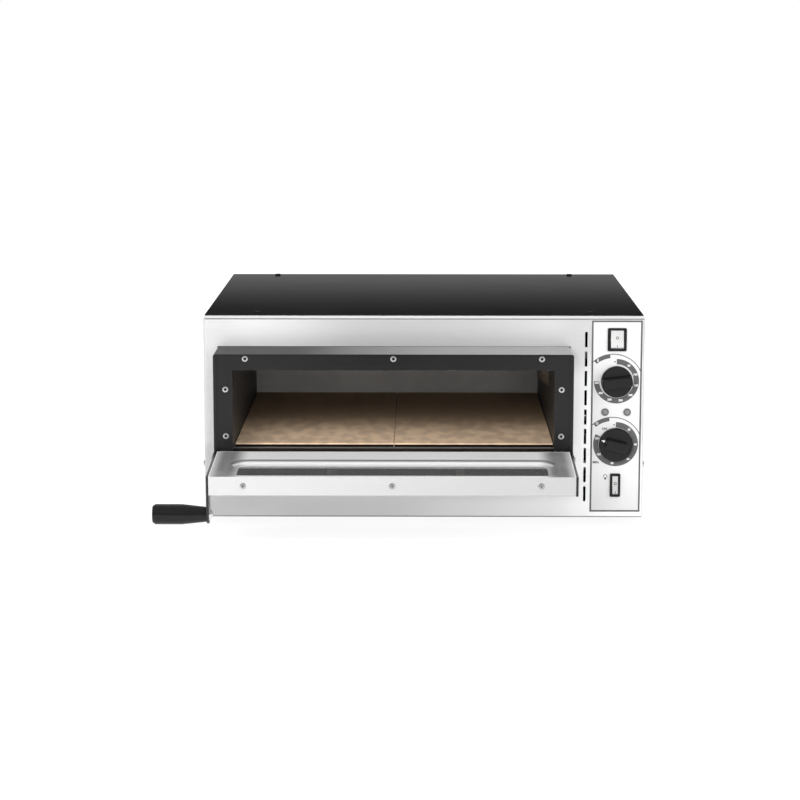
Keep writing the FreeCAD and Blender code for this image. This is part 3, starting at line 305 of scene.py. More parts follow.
def between(value, low, high, start=0.0, end=1.0):
    """The value's run from low to high, eased, as start to end."""
    inputs = {"Value": value, "From Min": low, "From Max": high, "To Min": start, "To Max": end}
    return value.node("MapRange", {"interpolation_type": "SMOOTHSTEP"}, inputs)


def looking(wire, axis, low, high):
    """How far a face looks along an axis of its own piece, from 0 at low to 1 at high."""
    return between(along(wire.node("TexCoord", output="Normal"), axis), low, high)


def looking_up(wire):
    return looking(wire, "Z", 0.5, 0.9)


def looking_ahead(wire):
    """1 on faces that look to the front, towards -Y."""
    return looking(wire, "Y", -0.5, -0.9)


def noise(place, scale, detail=2.0, roughness=0.5):
    inputs = {"Vector": place, "Scale": scale, "Detail": detail, "Roughness": roughness}
    return place.node("TexNoise", inputs=inputs)


def blend(factor, first, second):
    """A colour between two colours, which may be wires or triples."""
    colours = [colour if isinstance(colour, Wire) else (*colour, 1.0) for colour in (first, second)]
    inputs = {0: factor, 6: colours[0], 7: colours[1]}
    return factor.node("Mix", {"data_type": "RGBA"}, inputs, output=2)


def shaded(colour, factor):
    return tuple(min(1.0, channel * factor) for channel in colour)


def toned(factor, colour, low, high):
    """A colour between two shades of one colour."""
    return blend(factor, shaded(colour, low), shaded(colour, high))


def bump(height, strength, distance):
    inputs = {"Height": height, "Strength": strength, "Distance": distance}
    return height.node("Bump", inputs=inputs)


def mix_surface(first, second, part):
    """Makes a material's surface a mix of two shaders, by the second one's part."""
    mixed = part.node("MixShader", inputs={0: part, 1: first, 2: second})
    plug(mixed, part.tree.nodes["Material Output"].inputs["Surface"])


def dulled(material, part):
    """Mixes a plain black into a material, as a part of it, as painted shade."""
    bright = Wire(part.tree, part.tree.nodes["Principled BSDF"].outputs["BSDF"])
    mix_surface(bright, part.node("BsdfDiffuse", inputs={"Color": (*grey(0.008), 1.0)}), part)
    return material


# Finishes

def even_finish(name, colour, tones, cloud, gloss, grain=None, relief=None, **even):
    """A finish of one colour; clouds run its tone between two shades, and grains may stand out.

    Cloud and grain are a pattern's scale and detail, gloss is the roughness and what clouds and grains add to
    it, and relief is the strength and depth of the grains.
    """
    material, place = start_finish(name)
    patterns = [noise(place, *pattern) for pattern in (cloud, grain) if pattern]
    roughness = gloss[0]
    for pattern, part in zip(patterns, gloss[1:]):
        roughness += pattern * part
    if grain:
        even["Normal"] = bump(patterns[1], *relief)
    return finish(material, Base_Color=toned(patterns[0], colour, *tones), Roughness=roughness, **even)


def plated_steel(name, colour, roughness):
    """Bright plating with handling spots."""
    return even_finish(name, colour, PLATING_TONES, SPOTS, (roughness - 0.05, 0.1), Metallic=1.0)


def moulded_plastic(name, colour, roughness, texture):
    """Moulded plastic with a fine spark-eroded surface; texture is its depth as a share."""
    return even_finish(name, colour, (0.9, 1.12), (30.0, 3.0), (roughness - 0.04, 0.05, 0.05),
                       (1100.0, 2.0), (texture, 0.0001), Specular_IOR_Level=0.28)


def soft_rubber(name, colour):
    """Rubber with a pale bloom."""
    return even_finish(name, colour, (1.0, 1.8), (55.0, 4.0), (0.7, 0.2),
                       (800.0, 2.0), (0.2, 0.0002), Specular_IOR_Level=0.3)


def printed_film(name, colour):
    """Satin plastic film with a very fine grain."""
    return even_finish(name, colour, (0.97, 1.02), (20.0, 3.0), (0.36, 0.0, 0.08),
                       (1600.0, 1.0), (0.05, 0.00005), IOR=1.45)


def screen_ink(name, colour):
    """Screen-printed ink with slight unevenness."""
    return even_finish(name, colour, (0.9, 1.1), (700.0, 2.0), (0.42, 0.1), IOR=1.45)


def fired_ceramic(name, colour):
    """Unglazed ceramic with a fine grain."""
    return even_finish(name, colour, (0.88, 1.0), (500.0, 3.0), (0.55, 0.2),
                       (500.0, 3.0), (0.1, 0.0002), Specular_IOR_Level=0.35)


def painted_dull_middle(across, colour, tone, middle, reach):
    """Painted shade: a tone that is dullest at a place along X and brightens within a reach to both sides of
    it.
    """
    return blend(between(abs(across - middle), reach, 0.0), tone, shaded(colour, 0.78))


def front_painted_light(place, colour, tone, hem):
    """The front panel's light and shade above its hem, which is a height.

    The foot is painted pale except at its left end, as are the upper left part and the strip beside the
    collar, all as painted light. The upper right corner is painted dull and the hem dark, as painted shade.
    """
    across, height = along(place, "X"), along(place, "Z")
    above = between(height, *FOOT_TOP)
    tone = painted_dull_middle(across, colour, tone, above * 0.28 - 0.28, above * -0.27 + 0.55)
    foot = (1.0 - above) * between(across, *FOOT_START, 0.0, 0.55)
    foot += between(across, *FOOT_RIGHT, 0.0, 0.3) * between(height, *FOOT_LOW)
    tone = blend(foot, tone, PAINTED_LIGHT)
    left = between(across, *LEFT_START) * between(across, *LEFT_END, 0.0, 0.32)
    strip = between(across, *STRIP_START) * between(across, *STRIP_END, 0.0, 0.9)
    strip *= between(height, *STRIP_FOOT) * between(height, *STRIP_HEAD)
    tone = blend(left * above + strip, tone, PAINTED_LIGHT)
    corner = between(across, *CORNER_START, 0.0, 0.22) * between(height, *CORNER_FOOT)
    tone = blend(corner, tone, shaded(colour, 0.35))
    return blend(between(height, hem + HEM_TOP, hem + HEM_DARK), tone, shaded(colour, 0.4))


def brushed_steel(name, colour, roughness, lines, middle=0.0, reach=0.28, hem=None):
    """Stainless sheet with fine parallel brushing and a little handling haze.

    It is painted dullest at its middle along X as shade or, where a hem's height is given, has the front
    panel's painted light and shade. Faces that look up are more matt and painted pale as a highlight, with
    painted shade along the fold.
    """
    material, place = start_finish(name)
    strokes = noise(stretched(place, lines), 1.0, 3.0, 0.65)
    haze = noise(place, 9.0, 3.0)
    # Painted light and shade: faces that look up are painted pale as a highlight, and the fold below them
    # dark as shade
    upward = looking(place, "Z", 0.9, 0.97)
    fold = looking(place, "Z", 0.1, 0.35) - upward
    tone = toned(between(strokes, 0.25, 0.75), colour, 0.95, 1.04)
    if hem is None:
        tone = painted_dull_middle(along(place, "X"), colour, tone, middle, reach)
    else:
        tone = front_painted_light(place, colour, tone, hem)
    tone = blend(fold, tone, shaded(colour, 0.35))
    return finish(material, Anisotropic=0.6, Base_Color=blend(upward, tone, PAINTED_LIGHT),
                  Metallic=0.34 - upward * 0.34, Roughness=roughness - 0.05 + strokes * 0.07 + haze * 0.05,
                  Normal=bump(strokes, 0.12, 0.00004))


def shaded_inside_steel(name, colour, roughness, lines):
    """Brushed sheet whose inner side, towards -Y, is mixed with plain black as painted shade."""
    material = brushed_steel(name, colour, roughness, lines)
    return dulled(material, looking_ahead(Wire(material.node_tree)))


def satin_sheet(name, colour, low, high, level):
    """Pressed sheet with a fine satin grain and wiping marks, darker near its ends along X, low and high.

    Level is a point on the sheet and its normal; the dish below it has painted shade in its upper part, and
    on the slope that looks to the front it is more polished and painted pale as a highlight.
    """
    material, place = start_finish(name)
    grain = noise(stretched(place, LINES_ALONG_X), 0.6, 3.0, 0.6)
    smears = noise(place, 12.0, 3.0)
    across = along(place, "X")
    # Painted shade near both ends along X, lighter again at the very edge
    ends = 0.0
    for end, inward in ((low, 1.0), (high, -1.0)):
        ends += between(across, end + inward * 0.042, end + inward * 0.02)
        ends -= between(across, end + inward * 0.01, end, 0.0, 0.5)
    offset = vector_maths("SUBTRACT", place, level[0])
    sunk = vector_maths("DOT_PRODUCT", offset, level[1], output="Value") * (-1.0 / DISH_DEPTH)
    # Painted shade in the dish's upper part, and a painted highlight on its slope that looks to the front
    slope = looking(place, "Y", -0.12, -0.25)
    shadow = between(sunk, 0.03, 0.1) * between(sunk, 0.45, 0.25) * looking(place, "Z", 0.7, 0.8)
    painted_shine = between(sunk, 0.4, 0.6) * between(sunk, 0.95, 0.75) * slope
    tone = toned(grain * 0.6 + smears * 0.4, colour, 0.9, 1.08)
    tone = blend(ends * between(smears, 0.1, 0.5, 0.6, 1.0), tone, shaded(colour, 0.26))
    tone = blend(shadow, tone, shaded(colour, 0.3))
    return finish(material, Specular_IOR_Level=0.3, Base_Color=blend(painted_shine, tone, PAINTED_LIGHT),
                  Metallic=0.3 + slope * 0.3, Roughness=0.36 + smears * 0.1 - slope * 0.15,
                  Normal=bump(grain, 0.1, 0.00005))


def black_enamel(name, colour, roughness, gloss, lacquer=False):
    """Baked black enamel with a faint orange-peel surface and fine dust.

    With lacquer, faces that look up are glossy towards +X, and towards -X matt and partly mixed with plain
    black as painted shade.
    """
    material, place = start_finish(name)
    peel = noise(place, 520.0, 2.0)
    cloud = noise(place, 14.0, 3.0)
    if lacquer:
        across = along(place, "X")
        upward = looking_up(place)
        finish(material, Coat_IOR=2.2, Coat_Weight=upward * between(across, -0.12, 0.06))
        # Painted shade: plain black mixed into faces that look up, towards -X
        dulled(material, upward * between(across, -0.06, -0.15, 0.0, 0.56))
    return finish(material, Specular_IOR_Level=gloss, Base_Color=toned(cloud, colour, 0.85, 1.15),
                  Roughness=roughness - 0.04 + cloud * 0.08 + peel * 0.03, Normal=bump(peel, 0.06, 0.00008))


def galvanised_sheet(name, colour):
    """Zinc-coated sheet with its spangle."""
    material, place = start_finish(name)
    spangle = place.node("TexVoronoi", inputs={"Vector": place, "Scale": 90.0}, output="Color")
    level = place.node("RGBToBW", inputs={"Color": spangle})
    return finish(material, Metallic=1.0, Base_Color=toned(level, colour, 0.82, 1.12),
                  Roughness=0.36 + level * 0.16)


def chamber_walls(name, colour, dark, sill):
    """Chamber sheet: a dull back wall and, as painted shade, every wall that does not face the front painted
    dark, and a lip in front of the sill's place along Y painted black, with a grey line on it as a painted
    highlight.
    """
    material, place = start_finish(name)
    patches = noise(place, 7.0, 4.0, 0.6)
    rolling = noise(stretched(place, LINES_ALONG_X), 0.3, 2.0)
    depth = along(place, "Y")
    upward = looking_up(place)
    # Painted shade and highlight: the lip in front of the sill is black, with a grey line across it
    lip = between(depth, sill + 0.001, sill) * upward
    bead_highlight = between(depth, sill - 0.0052, sill - 0.0062) * between(depth, sill - 0.0145, sill - 0.0135)
    tone = toned(between(patches, 0.3, 0.75), colour, 0.85, 1.1)
    tone = blend(rolling * 0.3, tone, shaded(colour, 0.7))
    # Painted shade: faces that do not look to the front are dark
    tone = blend(looking_ahead(place), dark, tone)
    tone = blend(lip, tone, grey(0.006))
    tone = blend(bead_highlight * upward, tone, grey(0.25))
    return finish(material, Specular_IOR_Level=0.3, Base_Color=tone, Metallic=0.12 - lip * 0.12,
                  Roughness=0.42 + patches * 0.14, Normal=bump(rolling, 0.08, 0.0001))


def heat_toned_steel(name, colour, roughness):
    """Chamber sheet, dulled and toned brown in patches by heat."""
    material, place = start_finish(name)
    patches = noise(place, 7.0, 4.0, 0.6)
    rolling = noise(stretched(place, LINES_ALONG_X), 0.3, 2.0)
    warm = (colour[0] * 1.08, colour[1], colour[2] * 0.92)
    tone = blend(between(patches, 0.45, 0.75), colour, warm)
    return finish(material, Metallic=1.0, Base_Color=blend(rolling * 0.25, tone, shaded(colour, 0.7)),
                  Roughness=roughness - 0.06 + patches * 0.14, Normal=bump(rolling, 0.08, 0.0001))


def black_and_shade_plating(material, place, colour, dark, mask, gloss):
    """Plating that is dark where a mask is 1: black on the top cover's screws and painted shade in recesses.

    Gloss is the roughness and what the mask adds to it.
    """
    spots = noise(place, *SPOTS)
    tone = blend(mask, toned(spots, colour, *PLATING_TONES), dark)
    return finish(material, Base_Color=tone, Metallic=1.0 - mask,
                  Roughness=gloss[0] + spots * 0.1 + mask * gloss[1])


def recessed_screws(name, colour, crown, recess):
    """Plated screws that face the front, with painted shade in the recess behind their crown's place along Y.
    """
    material, place = start_finish(name)
    # Painted shade in the recess of each screw's head
    sunk = between(along(place, "Y"), crown + recess[0], crown + recess[1]) * looking(place, "Y", -0.7, -0.9)
    return black_and_shade_plating(material, place, colour, grey(0.01), sunk, (0.24, 0.5))


def cover_screws(name, colour, dark, top):
    """Casing screws: plated on the sides and back, and black where they stand on the top cover."""
    material, place = start_finish(name)
    above = between(along(place, "Z"), top - 0.0005, top)
    return black_and_shade_plating(material, place, colour, dark, above, (0.28, 0.0))


def fired_stone(name, colour, top):
    """Fired cordierite: mottling, specks, fine pores and scorch clouds; painted darker towards the back and
    black below its front edge, as shade.
    """
    material, place = start_finish(name)
    mottle = noise(stretched(place, (1.0, 0.45, 1.0)), 62.0, 1.0, 0.45)
    clouds = noise(place, 8.0, 3.0)
    specks = noise(place, 520.0, 1.0)
    grain = noise(place, 1500.0, 2.0)
    tone = toned(between(mottle, 0.36, 0.64), colour, 0.84, 1.1)
    scorched = (colour[0] * 0.8, colour[1] * 0.74, colour[2] * 0.68)
    tone = blend(between(clouds, 0.5, 0.8, 0.0, 0.4), tone, scorched)
    tone = blend(between(specks, 0.64, 0.72, 0.0, 0.35), tone, shaded(colour, 0.6))
    tone = blend(between(specks, 0.34, 0.28, 0.0, 0.3), tone, shaded(colour, 1.2))
    # Painted shade: darker towards the back of the chamber
    back_shade = between(along(place, "Y"), -0.06, 0.1)
    tone = blend(back_shade, tone, (colour[0] * 0.55, colour[1] * 0.52, colour[2] * 0.48))
    # Painted shade: the face below the front edge is black
    front_face_shade = looking_ahead(place) * between(along(place, "Z"), top - 0.0012, top - 0.002)
    return finish(material, Specular_IOR_Level=0.25, Roughness=0.8 + mottle * 0.15,
                  Base_Color=blend(front_face_shade, tone, (0.008, 0.007, 0.006)),
                  Normal=bump(grain * 0.5 + specks, 0.3, 0.0003))


def mineral_wool(name):
    """Pressed wool slab: matted fibres in several shades."""
    material, place = start_finish(name)
    fibres = noise(stretched(place, (90.0, 700.0, 700.0)), 1.0, 5.0, 0.7)
    clumps = noise(place, 60.0, 3.0)
    tone = blend(fibres, (0.42, 0.36, 0.22), (0.78, 0.72, 0.52))
    return finish(material, Specular_IOR_Level=0.1, Sheen_Weight=0.3, Roughness=0.85 + fibres * 0.12,
                  Base_Color=blend(clumps * 0.4, tone, (0.5, 0.44, 0.28)),
                  Normal=bump(fibres + clumps, 0.6, 0.0012))


def pane(name, colour, alpha, roughness):
    """Heat-proof glass with a trace of wiping marks."""
    material, place = start_finish(name)
    smears = noise(stretched(place, (18.0, 60.0, 60.0)), 1.0, 3.0)
    return finish(material, IOR=1.5, Coat_Weight=1.0, Coat_IOR=2.0, Roughness=roughness + smears * 0.06,
                  Base_Color=toned(smears, colour, 0.9, 1.15), Alpha=alpha + smears * 0.08)


def faceted_lens(name, colour):
    """Smoky clear plastic with moulded facets."""
    material, place = start_finish(name)
    cells = place.node("TexVoronoi", inputs={"Vector": place, "Scale": 750.0})
    return finish(material, IOR=1.49, Coat_Weight=0.4, Roughness=0.14 + cells * 0.12,
                  Base_Color=toned(between(cells, 0.0, 0.7), colour, 1.3, 1.0),
                  Normal=bump(cells, 0.7, 0.0006))


def oxidised_sheath(name, colour):
    """Heater tube: dark oxide with brown patches."""
    material, place = start_finish(name)
    patches = noise(place, 60.0, 4.0)
    warm = (colour[0] * 1.5, colour[1] * 1.25, colour[2] * 0.95)
    return finish(material, Metallic=0.7, Roughness=0.42 + patches * 0.2,
                  Base_Color=blend(between(patches, 0.4, 0.7), colour, warm),
                  Normal=bump(noise(place, 700.0, 2.0), 0.15, 0.0002))


# Mesh helpers

def coat(material, *names):
    for name in names:
        mesh = NODES[name].data
        mesh.materials.clear()
        mesh.materials.append(material)


def soften(width, *names):
    """Rounds the sharp edges of moulded nodes: seams in the mesh are welded first."""
    for name in names:
        weld = NODES[name].modifiers.new("weld", "WELD")
        weld.merge_threshold = 0.000002
        rounding = NODES[name].modifiers.new("rounding", "BEVEL")
        rounding.width = width
        rounding.segments = 3
        rounding.limit_method = "ANGLE"
        rounding.angle_limit = math.radians(35.0)
        normals = NODES[name].modifiers.new("normals", "WEIGHTED_NORMAL")
        normals.weight = 100


def new_object(name, data):
    made = bpy.data.objects.new(name, data)
    bpy.context.scene.collection.objects.link(made)
    return made


def new_piece(name, shape, place, material, body):
    """A piece from a drawn shape, moved to its place by a matrix; it rides on a body."""
    mesh = bpy.data.meshes.new(name)
    shape.to_mesh(mesh)
    shape.free()
    mesh.transform(place)
    mesh.materials.append(material)
    piece = new_object(name, mesh)
    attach(piece, body)


def on_film(height):
    """Turns a drawing in XY to stand on the control film, at a height in front of it."""
    place = Matrix.Translation((0.0, OVERLAY_LOW.y - height, 0.0))
    return place @ Matrix.Rotation(math.radians(90.0), 4, "X")


def add_walls(shape, low, high):
    """Faces between two closed rows of points."""
    for index in range(len(low)):
        after = (index + 1) % len(low)
        shape.faces.new((low[index], low[after], high[after], high[index]))


def add_rows(shape, points, thickness):
    """The lower and upper row of a slab's corners."""
    return [[shape.verts.new((x, y, level)) for x, y in points] for level in (0.0, thickness)]


def add_slab(shape, outline, thickness):
    """A thin closed slab in XY."""
    low, high = add_rows(shape, outline, thickness)
    shape.faces.new(high)
    shape.faces.new(list(reversed(low)))
    add_walls(shape, low, high)


def add_band(shape, outline, hole, thickness):
    """A thin closed band between two outlines with as many points."""
    low, high = add_rows(shape, outline, thickness)
    inner_low, inner_high = add_rows(shape, hole, thickness)
    for pair_of_rows in ((low, high), (high, inner_high), (inner_high, inner_low), (inner_low, low)):
        add_walls(shape, *pair_of_rows)


def polar(centre, radius, degrees):
    turn = math.radians(degrees)
    return centre[0] + radius * math.cos(turn), centre[1] + radius * math.sin(turn)


def arc_points(centre, radius, start, end):
    """Points on an arc, from start to end in degrees."""
    steps = max(2, round(abs(end - start) / ARC_STEP))
    return [polar(centre, radius, start + (end - start) * step / steps) for step in range(steps + 1)]


def circle_points(centre, radius):
    return arc_points(centre, radius, 0.0, 360.0)[:-1]


def add_sector(shape, centre, inner, outer, start, end, thickness):
    """A thin closed sector of a ring."""
    outline = arc_points(centre, outer, start, end) + arc_points(centre, inner, end, start)
    low, high = add_rows(shape, outline, thickness)
    add_walls(shape, low, high)
    for index in range(len(outline) // 2 - 1):
        far = len(outline) - 1 - index
        shape.faces.new((high[index], high[index + 1], high[far - 1], high[far]))
        shape.faces.new((low[far], low[far - 1], low[index + 1], low[index]))


def add_disc(shape, centre, radius, thickness):
    add_slab(shape, circle_points(centre, radius), thickness)


def add_circle(shape, centre, inner, outer, thickness):
    add_band(shape, circle_points(centre, outer), circle_points(centre, inner), thickness)


def add_bar(shape, start, end, width, thickness):
    """A straight bar between two points."""
    first, last = Vector(start), Vector(end)
    run = last - first
    side = Vector((-run.y, run.x)).normalized() * (width / 2)
    add_slab(shape, [first - side, last - side, last + side, first + side], thickness)


def add_words(shape, words, centre, height, thickness):
    """Lettering as thin closed solids, centred on a point."""
    curve = bpy.data.curves.new("lettering", "FONT")
    curve.body = words
    curve.size = height
    curve.align_x = "CENTER"
    curve.align_y = "CENTER"
    curve.extrude = thickness / 2
    curve.offset = height * LETTER_WEIGHT
    curve.resolution_u = 3
    holder = new_object("lettering", curve)
    bpy.context.view_layer.update()
    mesh = bpy.data.meshes.new_from_object(holder.evaluated_get(bpy.context.evaluated_depsgraph_get()))
    mesh.transform(Matrix.Translation((*centre, thickness / 2)))
    shape.from_mesh(mesh)
    bpy.data.objects.remove(holder)
    bpy.data.curves.remove(curve)
    bpy.data.meshes.remove(mesh)


def film_place(joint, across=0.0, rise=0.0):
    """A joint's place on the control film, or one beside it."""
    return JOINTS[joint].x + across, JOINTS[joint].z + rise


def face_frame(node, facing, low, high):
    """Middle and normal of a node's widest face that looks a given way and lies between two heights."""
    faces = [face for face in NODES[node].data.polygons
             if face.normal.dot(facing) > 0.85 and low < face.center.z < high]
    if not faces:
        raise RuntimeError("no face of " + node + " looks that way")
    widest = max(faces, key=lambda face: face.area)
    return widest.center.copy(), widest.normal.copy()


# Operators, one for each group of pieces

class OVEN_OT_casing(bpy.types.Operator):
    """Finish the cabinet's panels, top cover, feet and screws"""

    bl_idname = "oven.casing"
    bl_label = "Casing"

    def execute(self, context):
        look = context.scene.oven_finishes
        coat(brushed_steel("brushed_steel_across", look.steel, look.steel_roughness, LINES_ALONG_X,
                           hem=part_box("front_panel")[0].z), "front_panel")
        coat(shaded_inside_steel("back_steel", look.steel, look.steel_roughness, LINES_ALONG_X), "back_panel")
        coat(brushed_steel("brushed_steel_along", look.steel, look.steel_roughness, LINES_ALONG_Y),
             "left_side_panel", "right_side_panel")
        coat(black_enamel("cover_enamel", look.enamel, look.cover_roughness, 0.4), "top_cover")
        coat(galvanised_sheet("galvanised_sheet", (0.5, 0.51, 0.52)), "base_pan", "chamber_stands")
        # Painted shade: the partition behind the front's slots is near black, in a rubber-like finish
        coat(soft_rubber("smoked_sheet", grey(0.012)), "control_partition")
        cover_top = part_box("top_cover")[1].z
        coat(cover_screws("casing_screw_steel", PLATING, look.enamel, cover_top), "casing_screws")
        coat(plated_steel("plated_steel", PLATING, 0.3), "foot_screws")
        coat(soft_rubber("foot_rubber", grey(0.02)), "rubber_feet")
        coat(moulded_plastic("gland_plastic", grey(0.03), 0.45, 0.2), "cable_gland")
        soften(look.moulded_edge, "rubber_feet", "cable_gland")
        return {"FINISHED"}


class OVEN_OT_chamber(bpy.types.Operator):
    """Finish the collar, the chamber, its heaters, lamp and insulation"""

    bl_idname = "oven.chamber"
    bl_label = "Chamber"

    def execute(self, context):
        look = context.scene.oven_finishes
        # Painted light: the collar's enamel is a lighter copy of the black enamel
        collar = shaded(look.enamel, 1.3)
        coat(black_enamel("collar_enamel", collar, look.enamel_roughness, 0.26, True), "door_surround")
        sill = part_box("stone_left")[0].y
        coat(chamber_walls("chamber_sheet", look.chamber, look.chamber_side_shade, sill), "chamber_shell")
        coat(heat_toned_steel("chamber_steel", look.chamber, 0.48), "stone_supports", "heater_supports",
             "lamp_cup")
        coat(oxidised_sheath("heater_sheath", (0.09, 0.085, 0.08)), "upper_heater", "lower_heater",
             "thermostat_probe")
        coat(fired_ceramic("steatite", (0.8, 0.78, 0.72)), "heater_bushes", "lamp_socket", "terminal_block")
        coat(pane("lamp_pane", (0.12, 0.12, 0.115), 0.45, 0.06), "lamp_glass", "lamp_bulb")
        coat(mineral_wool("mineral_wool"), "insulation_top", "insulation_base", "insulation_left",
             "insulation_right", "insulation_back", "door_insulation")
        coat(soft_rubber("wire_cover", grey(0.02)), "wiring_loom")
        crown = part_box("surround_screws")[0].y
        coat(recessed_screws("socket_screw_steel", grey(0.85), crown, COLLAR_RECESS), "surround_screws")
        return {"FINISHED"}


class OVEN_OT_stones(bpy.types.Operator):
    """Finish the two baking stones"""

    bl_idname = "oven.stones"
    bl_label = "Baking stones"

    def execute(self, context):
        look = context.scene.oven_finishes
        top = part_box("stone_left")[1].z
        coat(fired_stone("fired_stone", look.stone, top), "stone_left", "stone_right")
        soften(look.moulded_edge, "stone_left", "stone_right")
        return {"FINISHED"}


class OVEN_OT_door(bpy.types.Operator):
    """Finish the door, its window and its hinge"""

    bl_idname = "oven.door"
    bl_label = "Door"

    def execute(self, context):
        look = context.scene.oven_finishes
        # Painted shade: the door's sheet is a darker copy of the steel, painted dullest towards +X
        coat(brushed_steel("door_steel", shaded(look.steel, 0.89), look.steel_roughness, LINES_ALONG_X,
                           middle=0.2, reach=0.5), "door_outer_panel")
        low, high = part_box("door_inner_panel")
        level = face_frame("door_inner_panel", UP, low.z, high.z)
        coat(satin_sheet("liner_steel", look.liner, low.x, high.x, level), "door_inner_panel")
        coat(pane("smoked_pane", (0.122, 0.122, 0.124), 0.88, 0.05), "door_glass")
        coat(heat_toned_steel("frame_steel", look.chamber, 0.45), "window_frame")
        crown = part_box("door_screws")[0].y
        coat(recessed_screws("door_screw_steel", grey(0.5), crown, DOOR_RECESS), "door_screws")
        coat(plated_steel("hinge_pin_steel", PLATING, 0.3), "hinge_pins", "door_stops")
        coat(plated_steel("bush_bronze", (0.55, 0.36, 0.16), 0.35), "hinge_bushes")
        coat(black_enamel("plate_enamel", look.enamel, look.enamel_roughness, 0.5), "right_hinge_plate")
        return {"FINISHED"}


class OVEN_OT_handle(bpy.types.Operator):
    """Finish the lever, its grip and bolt"""

    bl_idname = "oven.handle"
    bl_label = "Handle"

    def execute(self, context):
        look = context.scene.oven_finishes
        coat(black_enamel("lever_enamel", look.enamel, look.enamel_roughness, 0.5), "handle_lever")
        coat(moulded_plastic("grip_plastic", look.plastic, 0.16, 0.02), "handle_grip")
        coat(plated_steel("bolt_steel", grey(0.78), 0.2), "handle_bolt")
        soften(2 * look.moulded_edge, "handle_grip")
        return {"FINISHED"}


class OVEN_OT_controls(bpy.types.Operator):
    """Finish the knobs, rockers and pilot lamps"""

    bl_idname = "oven.controls"
    bl_label = "Controls"

    def execute(self, context):
        look = context.scene.oven_finishes
        coat(moulded_plastic("knob_plastic", look.plastic, 0.3, 0.08), "thermostat_knob", "timer_knob")
        coat(plated_steel("shaft_steel", PLATING, 0.3), "thermostat_shaft", "timer_shaft")
        coat(moulded_plastic("switch_plastic", grey(0.008), 0.34, 0.1), "main_switch_housing",
             "lamp_switch_housing", "thermostat_body", "timer_body")
        coat(moulded_plastic("rocker_plastic", look.rocker, 0.22, 0.03), "main_switch_rocker",
             "lamp_switch_rocker")
        coat(moulded_plastic("bezel_plastic", grey(0.12), 0.3, 0.05), "pilot_bezels")
        coat(faceted_lens("pilot_lens", grey(0.2)), "pilot_lenses")
        soften(look.moulded_edge, "main_switch_housing", "lamp_switch_housing", "main_switch_rocker",
               "lamp_switch_rocker")
        soften(look.edge, "thermostat_knob", "timer_knob", "pilot_bezels")
        return {"FINISHED"}


